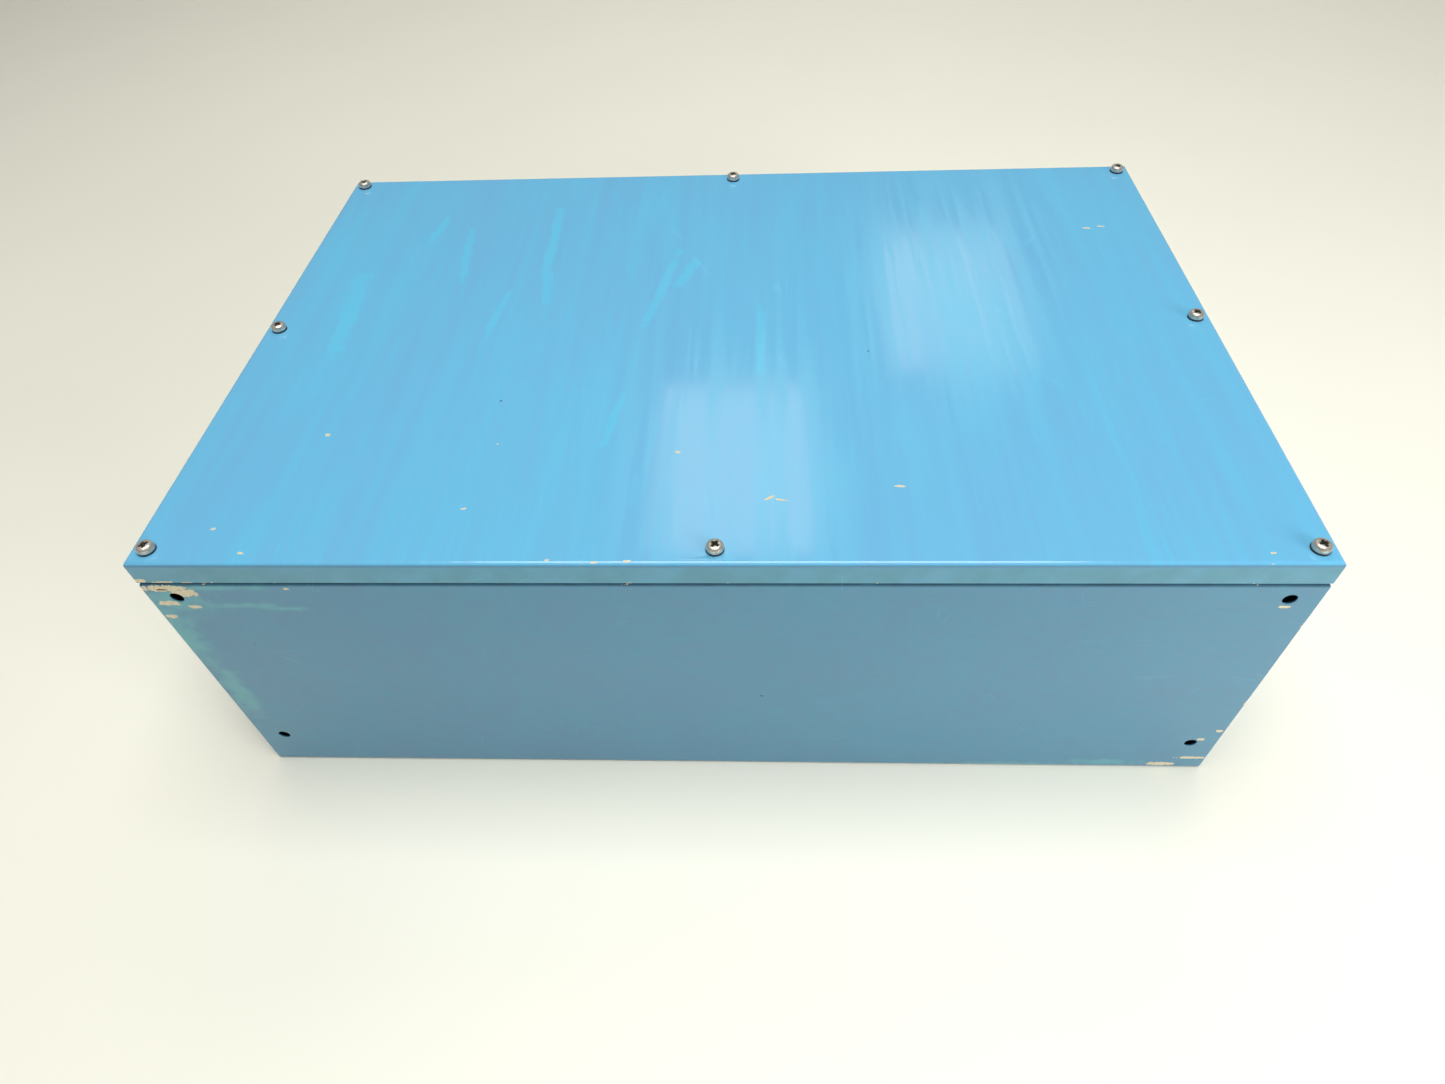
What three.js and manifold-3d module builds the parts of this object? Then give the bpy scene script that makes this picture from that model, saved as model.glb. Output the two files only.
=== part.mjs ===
// Screw-cover sheet-steel terminal enclosure, lying on its back with the cover up.
//
// Frame: millimetres, +Z up through the cover, +X along the long side, the drilled side wall at -Y.
// The origin is the centre of the back panel's outer face.

import * as THREE from 'three';
import { mergeVertices } from 'three/addons/utils/BufferGeometryUtils.js';
import Module from 'manifold-3d';

const wasm = await Module();
wasm.setup();

// ---- overall sizes -------------------------------------------------------------------------------

const enclosureWidth = 600;
const enclosureDepth = 400;
const enclosureHeight = 200;

// ---- sheet metal ---------------------------------------------------------------------------------

const sheetThickness = 1.5;
const bendRadius = 2.5; // outside of every folded edge
const shoulderRadius = 2.3; // outside of the joggle under the skirt
const weldedCornerRadius = 1; // ground-down vertical seams
const skirtHeight = 15; // cover top to skirt edge
const skirtGap = 1; // skirt edge to the body's shoulder
const skirtClearance = 2; // rim wall to the inside of the skirt

// ---- gasket and rim flange -----------------------------------------------------------------------

const gasketThickness = 3;
const gasketWidth = 8;
const gasketClearance = 1.5; // bush collar to the gasket, and gasket to the flange's free edge

// ---- cover screws, washers and bushes ------------------------------------------------------------

const screwInset = 9.5; // cover edge to the screw's axis
const screwRadius = 2.5;
const screwLength = 16;
const screwTipChamfer = 0.5;
const headLip = 2.05; // head beyond the shank
const headHeight = 3.7;
const headRimHeight = 1.3; // upright part of the pan head
const headCrownRadius = 2.2; // flat part of the pan head's crown
const recessSpan = 4.9;
const recessWidth = 1.2;
const recessDepth = 2.3;
const washerRim = 0.15; // washer beyond the head
const washerThickness = 1;
const washerClearance = 0.3;
const coverHoleClearance = 0.5;
const threadClearance = 0.1;
const bushWall = 0.9;
const collarLip = 0.7; // collar beyond the bush's barrel
const bushDepth = 7; // below the flange
const bushClearance = 0.15;

// ---- drilled side wall ---------------------------------------------------------------------------

const sideHoleRadius = 3.65;
const sideHoleInset = 15.8; // end wall to hole axis
const upperSideHoleDrop = 27.1; // cover top to hole axis
const lowerSideHoleRise = 31; // back panel to hole axis

// ---- mounting plate on its weld studs ------------------------------------------------------------

const plateThickness = 2;
const plateEntryClearance = 5; // plate edge to the mouth it is lowered through
const plateStandoff = 15;
const plateStudInset = 15;
const plateStudRadius = 4;
const plateShoulderLip = 2.5; // stud shoulder beyond its thread
const plateStudProud = 4; // thread showing above the nut
const plateHoleClearance = 0.5;
const plateWasherBand = 4; // washer beyond the thread
const plateWasherThickness = 1.6;
const plateNutWall = 2.5; // thread to the nut's flats
const plateNutHeight = 6.5;

// ---- earth studs ---------------------------------------------------------------------------------

const earthStudRadius = 3;
const earthStudLength = 16;
const earthWasherBand = 3;
const earthWasherThickness = 1.6;
const earthNutWall = 2;
const earthNutHeight = 5;
const earthNutClearance = 1.2; // free thread between the panel and the washer
const bodyEarthWallGap = 14; // end wall's inside to the stud's axis
const coverEarthInset = 20; // mouth edge to the stud's axis
const nutBoreClearance = 0.1;

// ---- facets --------------------------------------------------------------------------------------

const roundSides = 24;
const bendSteps = 3; // curve divisions, doubled on an arc
const cutMargin = 5; // how far a cutting solid runs past what it cuts

// ---- heights and half sizes that follow ----------------------------------------------------------

const halfWidth = enclosureWidth / 2;
const halfDepth = enclosureDepth / 2;
const coverTop = enclosureHeight;
const coverUnderside = coverTop - sheetThickness;
const skirtEdge = coverTop - skirtHeight;
const shoulderTop = skirtEdge - skirtGap;
const flangeTop = coverUnderside - gasketThickness;
const flangeUnderside = flangeTop - sheetThickness;
const rimInset = sheetThickness + skirtClearance;
const floorTop = sheetThickness;
const headRadius = screwRadius + headLip;
const washerRadius = headRadius + washerRim;
const bushRadius = screwRadius + threadClearance + bushWall;
const collarRadius = bushRadius + collarLip;
const gasketOuterInset = screwInset + collarRadius + gasketClearance;
const gasketInnerInset = gasketOuterInset + gasketWidth;
const mouthInset = gasketInnerInset + gasketClearance;
const mouthHalfWidth = halfWidth - mouthInset;
const mouthHalfDepth = halfDepth - mouthInset;
const washerTop = coverTop + washerThickness;
const plateShoulderRadius = plateStudRadius + plateShoulderLip;
const plateWasherRadius = plateStudRadius + plateWasherBand;
const earthWasherRadius = earthStudRadius + earthWasherBand;
const plateUnderside = floorTop + plateStandoff;
const plateTop = plateUnderside + plateThickness;
const plateHalfWidth = mouthHalfWidth - plateEntryClearance;
const plateHalfDepth = mouthHalfDepth - plateEntryClearance;
const plateWasherTop = plateTop + plateWasherThickness;
const plateNutTop = plateWasherTop + plateNutHeight;
const plateStudTop = plateNutTop + plateStudProud;

// ---- materials -----------------------------------------------------------------------------------

const finish = (color, roughness, metalness) => () =>
  new THREE.MeshStandardMaterial({ color, roughness, metalness });

const bluePaint = finish(0x5faed2, 0.32, 0.1);
const brightSteel = finish(0xb7b8b4, 0.34, 0.95);
const zincPlate = finish(0xa9adad, 0.45, 0.9);
const blackRubber = finish(0x1b1c1e, 0.8, 0);
const greyRubber = finish(0x2c2e30, 0.85, 0);

// ---- solids --------------------------------------------------------------------------------------

// Only positions are kept, so that faces which meet share their vertices.
function solidOf(geometry) {
  const bare = geometry.clone();
  bare.deleteAttribute('normal');
  bare.deleteAttribute('uv');
  const merged = mergeVertices(bare);
  return new wasm.Manifold(
    new wasm.Mesh({
      numProp: 3,
      vertProperties: merged.attributes.position.array,
      triVerts: new Uint32Array(merged.index.array),
    }),
  );
}

function geometryOf(solid) {
  const mesh = solid.getMesh();
  const geometry = new THREE.BufferGeometry();
  geometry.setAttribute('position', new THREE.BufferAttribute(mesh.vertProperties, mesh.numProp));
  geometry.setIndex(new THREE.BufferAttribute(mesh.triVerts, 1));
  geometry.computeVertexNormals();
  return geometry;
}

const cut = (solid, tools) => tools.reduce((rest, tool) => rest.subtract(tool), solid);

function meshOf(name, geometry, material) {
  const mesh = new THREE.Mesh(geometry, material());
  mesh.name = name;
  return mesh;
}

// A section drawn as (across, up), run along Y for a section through X, or along X for one through Y.
const alongY = new THREE.Matrix4().makeBasis(
  new THREE.Vector3(1, 0, 0),
  new THREE.Vector3(0, 0, 1),
  new THREE.Vector3(0, -1, 0),
);
const alongX = new THREE.Matrix4().makeBasis(
  new THREE.Vector3(0, 1, 0),
  new THREE.Vector3(0, 0, 1),
  new THREE.Vector3(1, 0, 0),
);

function runSection(section, length, direction) {
  const geometry = new THREE.ExtrudeGeometry(section, {
    depth: length,
    bevelEnabled: false,
    curveSegments: bendSteps,
  });
  geometry.translate(0, 0, -length / 2);
  geometry.applyMatrix4(direction);
  return solidOf(geometry);
}

// Two crossing runs of one section leave a folded pan whose bends are mitred at the corners.
function crossedSections(sectionOf) {
  const runAlongY = runSection(sectionOf(halfWidth), enclosureDepth + 2 * cutMargin, alongY);
  const runAlongX = runSection(sectionOf(halfDepth), enclosureWidth + 2 * cutMargin, alongX);
  return runAlongY.intersect(runAlongX);
}

function roundedRectangle(halfX, halfY, radius) {
  const shape = new THREE.Shape();
  shape.moveTo(-halfX + radius, -halfY);
  shape.lineTo(halfX - radius, -halfY);
  shape.absarc(halfX - radius, -halfY + radius, radius, -Math.PI / 2, 0);
  shape.lineTo(halfX, halfY - radius);
  shape.absarc(halfX - radius, halfY - radius, radius, 0, Math.PI / 2);
  shape.lineTo(-halfX + radius, halfY);
  shape.absarc(-halfX + radius, halfY - radius, radius, Math.PI / 2, Math.PI);
  shape.lineTo(-halfX, -halfY + radius);
  shape.absarc(-halfX + radius, -halfY + radius, radius, Math.PI, 1.5 * Math.PI);
  return shape;
}

function plateOf(shape, bottom, top, curveSegments = bendSteps) {
  const geometry = new THREE.ExtrudeGeometry(shape, {
    depth: top - bottom,
    bevelEnabled: false,
    curveSegments,
  });
  return geometry.translate(0, 0, bottom);
}

// A turned piece: its profile is a list of [radius, height], closed on itself.
function turned(profile, sides = roundSides) {
  const points = profile.map(([radius, height]) => new THREE.Vector2(radius, height));
  const geometry = new THREE.LatheGeometry([...points, points[0].clone()], sides);
  return geometry.rotateX(Math.PI / 2);
}

const rodOf = (radius, bottom, top) =>
  turned([
    [0, bottom],
    [radius, bottom],
    [radius, top],
    [0, top],
  ]);

const ringOf = (innerRadius, outerRadius, bottom, top) =>
  turned([
    [innerRadius, bottom],
    [outerRadius, bottom],
    [outerRadius, top],
    [innerRadius, top],
  ]);

const boreAt = (radius, bottom, top, { x, y }) =>
  solidOf(rodOf(radius, bottom, top).translate(x, y, 0));

// ---- places --------------------------------------------------------------------------------------

const screwX = halfWidth - screwInset;
const screwY = halfDepth - screwInset;
const screwPlaces = [
  { name: 'front_left', x: -screwX, y: -screwY },
  { name: 'front_middle', x: 0, y: -screwY },
  { name: 'front_right', x: screwX, y: -screwY },
  { name: 'right_middle', x: screwX, y: 0 },
  { name: 'back_right', x: screwX, y: screwY },
  { name: 'back_middle', x: 0, y: screwY },
  { name: 'back_left', x: -screwX, y: screwY },
  { name: 'left_middle', x: -screwX, y: 0 },
];

const plateStudX = plateHalfWidth - plateStudInset;
const plateStudY = plateHalfDepth - plateStudInset;
const plateStudPlaces = [
  { name: 'front_left', x: -plateStudX, y: -plateStudY },
  { name: 'front_right', x: plateStudX, y: -plateStudY },
  { name: 'back_right', x: plateStudX, y: plateStudY },
  { name: 'back_left', x: -plateStudX, y: plateStudY },
];

const bodyEarthPlace = { x: -(halfWidth - sheetThickness - bodyEarthWallGap), y: 0 };
const coverEarthPlace = {
  x: -(mouthHalfWidth - coverEarthInset),
  y: mouthHalfDepth - coverEarthInset,
};

// ---- body ----------------------------------------------------------------------------------------

// The outside of the folded body, seen in section: round at the back, joggled in under the skirt and
// folded inward again as the rim flange.
function bodySection(half) {
  const rim = half - rimInset;
  const shape = new THREE.Shape();
  shape.moveTo(-half + bendRadius, 0);
  shape.lineTo(half - bendRadius, 0);
  shape.absarc(half - bendRadius, bendRadius, bendRadius, -Math.PI / 2, 0);
  shape.lineTo(half, shoulderTop - shoulderRadius);
  shape.absarc(half - shoulderRadius, shoulderTop - shoulderRadius, shoulderRadius, 0, Math.PI / 2);
  shape.lineTo(rim, shoulderTop);
  shape.lineTo(rim, flangeTop - bendRadius);
  shape.absarc(rim - bendRadius, flangeTop - bendRadius, bendRadius, 0, Math.PI / 2);
  shape.lineTo(-rim + bendRadius, flangeTop);
  shape.absarc(-rim + bendRadius, flangeTop - bendRadius, bendRadius, Math.PI / 2, Math.PI);
  shape.lineTo(-rim, shoulderTop);
  shape.lineTo(-half + shoulderRadius, shoulderTop);
  shape.absarc(
    -half + shoulderRadius,
    shoulderTop - shoulderRadius,
    shoulderRadius,
    Math.PI / 2,
    Math.PI,
  );
  shape.lineTo(-half, bendRadius);
  shape.absarc(-half + bendRadius, bendRadius, bendRadius, Math.PI, 1.5 * Math.PI);
  return shape;
}

// The space inside, one sheet thickness in from the outside all the way round.
function cavitySection(half) {
  const wall = half - sheetThickness;
  const rim = half - rimInset - sheetThickness;
  const inner = bendRadius - sheetThickness;
  const step = shoulderRadius - sheetThickness;
  const ledge = shoulderTop - sheetThickness;
  const shape = new THREE.Shape();
  shape.moveTo(-wall + inner, floorTop);
  shape.lineTo(wall - inner, floorTop);
  shape.absarc(wall - inner, floorTop + inner, inner, -Math.PI / 2, 0);
  shape.lineTo(wall, ledge - step);
  shape.absarc(wall - step, ledge - step, step, 0, Math.PI / 2);
  shape.lineTo(rim, ledge);
  shape.lineTo(rim, flangeUnderside - inner);
  shape.absarc(rim - inner, flangeUnderside - inner, inner, 0, Math.PI / 2);
  shape.lineTo(-rim + inner, flangeUnderside);
  shape.absarc(-rim + inner, flangeUnderside - inner, inner, Math.PI / 2, Math.PI);
  shape.lineTo(-rim, ledge);
  shape.lineTo(-wall + step, ledge);
  shape.absarc(-wall + step, ledge - step, step, Math.PI / 2, Math.PI);
  shape.lineTo(-wall, floorTop + inner);
  shape.absarc(-wall + inner, floorTop + inner, inner, Math.PI, 1.5 * Math.PI);
  return shape;
}

function planPrism(bottom, top) {
  const outline = roundedRectangle(halfWidth, halfDepth, weldedCornerRadius);
  return solidOf(plateOf(outline, bottom, top));
}

function sideHoleTool(x, z) {
  const length = 4 * cutMargin;
  const drill = new THREE.CylinderGeometry(sideHoleRadius, sideHoleRadius, length, roundSides);
  return solidOf(drill.translate(x, -halfDepth, z));
}

function bodyShell() {
  const outside = crossedSections(bodySection).intersect(planPrism(0, flangeTop));
  const mouthOutline = roundedRectangle(mouthHalfWidth, mouthHalfDepth, bendRadius);
  const mouth = solidOf(plateOf(mouthOutline, flangeUnderside - sheetThickness, flangeTop + cutMargin));
  const bushHoles = screwPlaces.map((place) =>
    boreAt(bushRadius + bushClearance, flangeUnderside - sheetThickness, flangeTop + cutMargin, place),
  );
  const sideHoleX = halfWidth - sideHoleInset;
  const sideHoles = [lowerSideHoleRise, coverTop - upperSideHoleDrop].flatMap((z) => [
    sideHoleTool(-sideHoleX, z),
    sideHoleTool(sideHoleX, z),
  ]);
  const shell = cut(outside, [crossedSections(cavitySection), mouth, ...bushHoles, ...sideHoles]);
  return meshOf('body_shell', geometryOf(shell), bluePaint);
}

// A pressed-in bush: its collar carries the cover and its barrel takes the screw.
function bushAt(place) {
  const bore = screwRadius + threadClearance;
  const geometry = turned([
    [bore, flangeUnderside - bushDepth],
    [bushRadius, flangeUnderside - bushDepth],
    [bushRadius, flangeTop],
    [collarRadius, flangeTop],
    [collarRadius, coverUnderside],
    [bore, coverUnderside],
  ]);
  const mesh = meshOf(`bush_${place.name}`, geometry, zincPlate);
  mesh.position.set(place.x, place.y, 0);
  return mesh;
}

// ---- cover ---------------------------------------------------------------------------------------

function coverSection(half) {
  const shape = new THREE.Shape();
  shape.moveTo(-half, skirtEdge);
  shape.lineTo(half, skirtEdge);
  shape.lineTo(half, coverTop - bendRadius);
  shape.absarc(half - bendRadius, coverTop - bendRadius, bendRadius, 0, Math.PI / 2);
  shape.lineTo(-half + bendRadius, coverTop);
  shape.absarc(-half + bendRadius, coverTop - bendRadius, bendRadius, Math.PI / 2, Math.PI);
  return shape;
}

function coverHollowSection(half) {
  const wall = half - sheetThickness;
  const inner = bendRadius - sheetThickness;
  const shape = new THREE.Shape();
  shape.moveTo(-wall, skirtEdge - cutMargin);
  shape.lineTo(wall, skirtEdge - cutMargin);
  shape.lineTo(wall, coverUnderside - inner);
  shape.absarc(wall - inner, coverUnderside - inner, inner, 0, Math.PI / 2);
  shape.lineTo(-wall + inner, coverUnderside);
  shape.absarc(-wall + inner, coverUnderside - inner, inner, Math.PI / 2, Math.PI);
  return shape;
}

function coverPan() {
  const outside = crossedSections(coverSection).intersect(planPrism(skirtEdge, coverTop));
  const screwHoles = screwPlaces.map((place) =>
    boreAt(screwRadius + coverHoleClearance, coverUnderside - cutMargin, coverTop + cutMargin, place),
  );
  const pan = cut(outside, [crossedSections(coverHollowSection), ...screwHoles]);
  return meshOf('cover', geometryOf(pan), bluePaint);
}

function gasketStrip() {
  const outer = roundedRectangle(
    halfWidth - gasketOuterInset,
    halfDepth - gasketOuterInset,
    gasketWidth,
  );
  const inner = roundedRectangle(
    halfWidth - gasketInnerInset,
    halfDepth - gasketInnerInset,
    bendRadius,
  );
  outer.holes.push(new THREE.Path(inner.getPoints(bendSteps)));
  return meshOf('gasket', plateOf(outer, flangeTop, coverUnderside), greyRubber);
}

// ---- cover screws --------------------------------------------------------------------------------

// The pan head's crown is an arc from its rim to the flat around the cross recess.
function crownArc(steps) {
  const rise = headHeight - headRimHeight;
  const run = headRadius - headCrownRadius;
  return Array.from({ length: steps }, (_, index) => {
    const angle = ((index + 1) / steps) * (Math.PI / 2);
    return [headCrownRadius + run * Math.cos(angle), headRimHeight + rise * Math.sin(angle)];
  });
}

function crossRecess() {
  const arm = recessSpan / 2;
  const side = recessWidth / 2;
  const corners = [
    [arm, -side], [arm, side], [side, side], [side, arm],
    [-side, arm], [-side, side], [-arm, side], [-arm, -side],
    [-side, -side], [-side, -arm], [side, -arm], [side, -side],
  ];
  const cross = new THREE.Shape(corners.map(([x, y]) => new THREE.Vector2(x, y)));
  return solidOf(plateOf(cross, headHeight - recessDepth, headHeight + cutMargin));
}

function panScrewGeometry() {
  const blank = turned([
    [0, -screwLength],
    [screwRadius - screwTipChamfer, -screwLength],
    [screwRadius, -screwLength + screwTipChamfer],
    [screwRadius, 0],
    [headRadius, 0],
    [headRadius, headRimHeight],
    ...crownArc(4),
    [0, headHeight],
  ]);
  return geometryOf(solidOf(blank).subtract(crossRecess()));
}

function screwAt(place) {
  const mesh = meshOf(`screw_${place.name}`, panScrewGeometry(), brightSteel);
  mesh.position.set(place.x, place.y, washerTop);
  return mesh;
}

function washerAt(place) {
  const geometry = ringOf(screwRadius + washerClearance, washerRadius, coverTop, washerTop);
  const mesh = meshOf(`washer_${place.name}`, geometry, blackRubber);
  mesh.position.set(place.x, place.y, 0);
  return mesh;
}

// ---- nuts and studs ------------------------------------------------------------------------------

// A hexagon nut with its corners turned off at both ends, from z = 0 up.
function nutGeometry(studRadius, wall, height) {
  const across = studRadius + wall;
  const corner = across / Math.cos(Math.PI / 6);
  const chamfer = corner - across;
  const hexagon = new THREE.CylinderGeometry(corner, corner, height, 6);
  hexagon.rotateX(Math.PI / 2).translate(0, 0, height / 2);
  const barrel = turned([
    [0, 0],
    [across, 0],
    [corner + chamfer, chamfer],
    [corner + chamfer, height - chamfer],
    [across, height],
    [0, height],
  ]);
  const bore = solidOf(rodOf(studRadius + nutBoreClearance, -cutMargin, height + cutMargin));
  return geometryOf(solidOf(hexagon).intersect(solidOf(barrel)).subtract(bore));
}

function plateStudAt(place) {
  const geometry = turned([
    [0, floorTop],
    [plateShoulderRadius, floorTop],
    [plateShoulderRadius, plateUnderside],
    [plateStudRadius, plateUnderside],
    [plateStudRadius, plateStudTop - screwTipChamfer],
    [plateStudRadius - screwTipChamfer, plateStudTop],
    [0, plateStudTop],
  ]);
  const mesh = meshOf(`plate_stud_${place.name}`, geometry, zincPlate);
  mesh.position.set(place.x, place.y, 0);
  return mesh;
}

function plateWasherAt(place) {
  const inner = plateStudRadius + washerClearance;
  const geometry = ringOf(inner, plateWasherRadius, plateTop, plateWasherTop);
  const mesh = meshOf(`plate_washer_${place.name}`, geometry, zincPlate);
  mesh.position.set(place.x, place.y, 0);
  return mesh;
}

function plateNutAt(place) {
  const geometry = nutGeometry(plateStudRadius, plateNutWall, plateNutHeight);
  const mesh = meshOf(`plate_nut_${place.name}`, geometry, zincPlate);
  mesh.position.set(place.x, place.y, plateWasherTop);
  return mesh;
}

function mountingPlate() {
  const outline = roundedRectangle(plateHalfWidth, plateHalfDepth, bendRadius);
  const blank = solidOf(plateOf(outline, plateUnderside, plateTop));
  const holes = plateStudPlaces.map((place) =>
    boreAt(
      plateStudRadius + plateHoleClearance,
      plateUnderside - cutMargin,
      plateTop + cutMargin,
      place,
    ),
  );
  return meshOf('mounting_plate', geometryOf(cut(blank, holes)), zincPlate);
}

// An earth stud with its washer and nut, built standing up from a panel face at z = 0.
function earthPoint(name, isOn) {
  const washerBottom = earthNutClearance;
  const nutBottom = washerBottom + earthWasherThickness;
  const stud = turned([
    [0, 0],
    [earthStudRadius, 0],
    [earthStudRadius, earthStudLength - screwTipChamfer],
    [earthStudRadius - screwTipChamfer, earthStudLength],
    [0, earthStudLength],
  ]);
  const washer = ringOf(earthStudRadius + washerClearance, earthWasherRadius, washerBottom, nutBottom);
  const nut = nutGeometry(earthStudRadius, earthNutWall, earthNutHeight);
  nut.translate(0, 0, nutBottom);
  const point = new THREE.Group();
  point.add(
    meshOf(`${name}_earth_stud`, stud, zincPlate),
    meshOf(`${name}_earth_washer`, washer, zincPlate),
    meshOf(`${name}_earth_nut`, nut, zincPlate),
  );
  point.position.set(isOn.x, isOn.y, isOn.z);
  if (isOn.facesDown) point.rotation.x = Math.PI;
  return point;
}

// ---- assembly ------------------------------------------------------------------------------------

const body = new THREE.Group();
body.add(
  bodyShell(),
  ...screwPlaces.map(bushAt),
  mountingPlate(),
  ...plateStudPlaces.flatMap((place) => [plateStudAt(place), plateWasherAt(place), plateNutAt(place)]),
  earthPoint('body', { ...bodyEarthPlace, z: floorTop, facesDown: false }),
);

const coverGroup = new THREE.Group();
coverGroup.add(
  coverPan(),
  gasketStrip(),
  earthPoint('cover', { ...coverEarthPlace, z: coverUnderside, facesDown: true }),
  ...screwPlaces.flatMap((place) => [washerAt(place), screwAt(place)]),
);

const enclosure = new THREE.Group();
enclosure.add(body, coverGroup);

export default enclosure;
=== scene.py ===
"""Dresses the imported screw-cover enclosure: aged blue paint, plated screws, washers and inner fittings.

Sizes are in metres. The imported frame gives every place. The property groups hold what a user would change.
"""

import math
from functools import reduce

import bmesh
import bpy
from bpy.props import FloatProperty, FloatVectorProperty, IntProperty, PointerProperty
from mathutils import Matrix, Vector, noise


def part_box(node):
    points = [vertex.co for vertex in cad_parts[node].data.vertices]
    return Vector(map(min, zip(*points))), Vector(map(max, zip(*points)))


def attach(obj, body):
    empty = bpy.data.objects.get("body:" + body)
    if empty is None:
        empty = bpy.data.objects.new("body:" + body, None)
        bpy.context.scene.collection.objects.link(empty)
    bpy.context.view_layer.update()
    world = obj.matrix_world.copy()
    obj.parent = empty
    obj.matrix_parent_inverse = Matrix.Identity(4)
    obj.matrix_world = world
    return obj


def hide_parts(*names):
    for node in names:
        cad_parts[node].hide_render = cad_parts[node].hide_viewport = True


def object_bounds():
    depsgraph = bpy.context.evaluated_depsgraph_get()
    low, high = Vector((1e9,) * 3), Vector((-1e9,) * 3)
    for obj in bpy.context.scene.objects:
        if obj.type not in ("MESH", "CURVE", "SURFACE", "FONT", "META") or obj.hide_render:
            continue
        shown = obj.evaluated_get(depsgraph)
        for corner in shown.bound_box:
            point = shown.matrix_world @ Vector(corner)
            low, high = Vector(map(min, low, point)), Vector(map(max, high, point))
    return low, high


bl_info = {
    "name": "Screw-cover enclosure",
    "version": (1, 0, 0),
    "blender": (4, 5, 0),
    "location": "3D View > Sidebar > Enclosure",
    "description": "Builds the looks of a painted sheet-steel enclosure around its packed frame",
    "category": "Object",
}

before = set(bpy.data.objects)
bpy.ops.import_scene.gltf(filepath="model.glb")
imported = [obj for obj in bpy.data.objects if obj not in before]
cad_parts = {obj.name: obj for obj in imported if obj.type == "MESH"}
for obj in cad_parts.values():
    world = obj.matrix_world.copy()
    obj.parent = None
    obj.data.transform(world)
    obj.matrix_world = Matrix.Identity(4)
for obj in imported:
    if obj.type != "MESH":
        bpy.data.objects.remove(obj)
CAD_LOW, CAD_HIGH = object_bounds()


def places(prefix):
    """The places named after a prefix in the frame's nodes, in a fixed order."""
    return sorted(name[len(prefix):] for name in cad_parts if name.startswith(prefix))


def centre_of(node):
    """The middle of a CAD node's box."""
    low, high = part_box(node)
    return (low + high) / 2


MM = 0.001
BODY, COVER = "body", "cover"
SCREW_PLACES = places("screw_")
CORNER_PLACES = places("plate_nut_")

BODY_LOW, BODY_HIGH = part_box("body_shell")
COVER_LOW, COVER_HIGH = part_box("cover")
GASKET_LOW, GASKET_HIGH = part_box("gasket")
HALF_WIDTH = (BODY_HIGH.x - BODY_LOW.x) / 2
HALF_DEPTH = (BODY_HIGH.y - BODY_LOW.y) / 2
FRONT_WALL = BODY_LOW.y
SHEET = COVER_HIGH.z - GASKET_HIGH.z

SOFT_EDGE = 0.3 * MM  # rounding or chamfer on small hardware
GASKET_EDGE = 0.7 * MM
THREAD_PLAY = 0.1 * MM  # bore beyond the thread it holds
WASHER_PLAY = 0.3 * MM  # hole of a washer beyond the shank
PLATE_PLAY = 0.5 * MM  # hole of the plate beyond the stud
STEPS_PER_PITCH = 6
SIDE_STEPS, CORNER_STEPS = (30, 20), 4  # divisions of the long and short sides, and of a corner
SHARP_ANGLE = math.radians(35)
SCREW_SIDES, NUT_SIDES, HEAD_SIDES, STUD_SIDES = 32, 48, 64, 40
SCREW_TURNS = dict(zip(SCREW_PLACES, (20, 66, 8, 38, 52, 12, 74, 30)))  # where each was left, in degrees
NUT_TURN, EARTH_NUT_TURN = 17, 25
MARK_DEPTH = 1.2 * MM
EDGE_WEAR = 1.3 * MM
CALM_EDGE, CALM_FADE = 20 * MM, 60 * MM
CEILING = 2.4
SENSOR_WIDTH = 36.0
FLOOR_HALF = 9.0
FLOOR_GAP = 0.1 * MM


# ---- settings ----


def length(name, description, default_mm):
    return FloatProperty(
        name=name, description=description, default=default_mm * MM, unit="LENGTH", precision=5
    )


def colour(name, description, default):
    return FloatVectorProperty(
        name=name, description=description, default=default, subtype="COLOR", min=0, max=1
    )


def share(name, description, default):
    return FloatProperty(
        name=name, description=description, default=default, subtype="FACTOR", min=0, max=1
    )


class EnclosureSheetSettings(bpy.types.PropertyGroup):
    """Sizes of the folded sheet metal that the frame's boxes don't give."""

    bend_radius: length("Bend radius", "Outside radius of each folded edge", 2.5)
    shoulder_radius: length("Shoulder radius", "Outside radius of the joggle under the skirt", 2.3)
    weld_radius: length("Weld radius", "Radius of the ground vertical seams", 1.0)
    skirt_gap: length("Skirt gap", "Gap between the cover's skirt and the body's shoulder", 1.0)
    rim_inset: length("Rim inset", "End wall to the outside of the rim wall", 3.5)
    mouth_inset: length("Mouth inset", "End wall to the flange's free edge", 24.7)
    gasket_width: length("Gasket width", "Width of the sealing strip", 8.0)
    hole_radius: length("Side hole radius", "Radius of the four drilled holes", 3.65)
    hole_inset: length("Side hole inset", "End wall to a drilled hole's axis", 15.8)
    upper_hole_drop: length("Upper hole drop", "Cover top to the upper holes' axis", 27.1)
    lower_hole_rise: length("Lower hole rise", "Back panel to the lower holes' axis", 31.0)
    clearance_radius: length("Clearance hole radius", "Radius of the cover's screw holes", 3.0)
    bush_hole_radius: length("Bush hole radius", "Radius of the flange's holes for the bushes", 3.6)
    wall_bow: length("Wall bow", "How far the long walls sink in at their middle", 0.45)
    cover_wave: length("Cover wave", "Height of the soft waves in the cover's sheet", 0.12)
    edge_break: length("Edge break", "Rounding of a cut sheet edge", 0.35)


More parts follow.
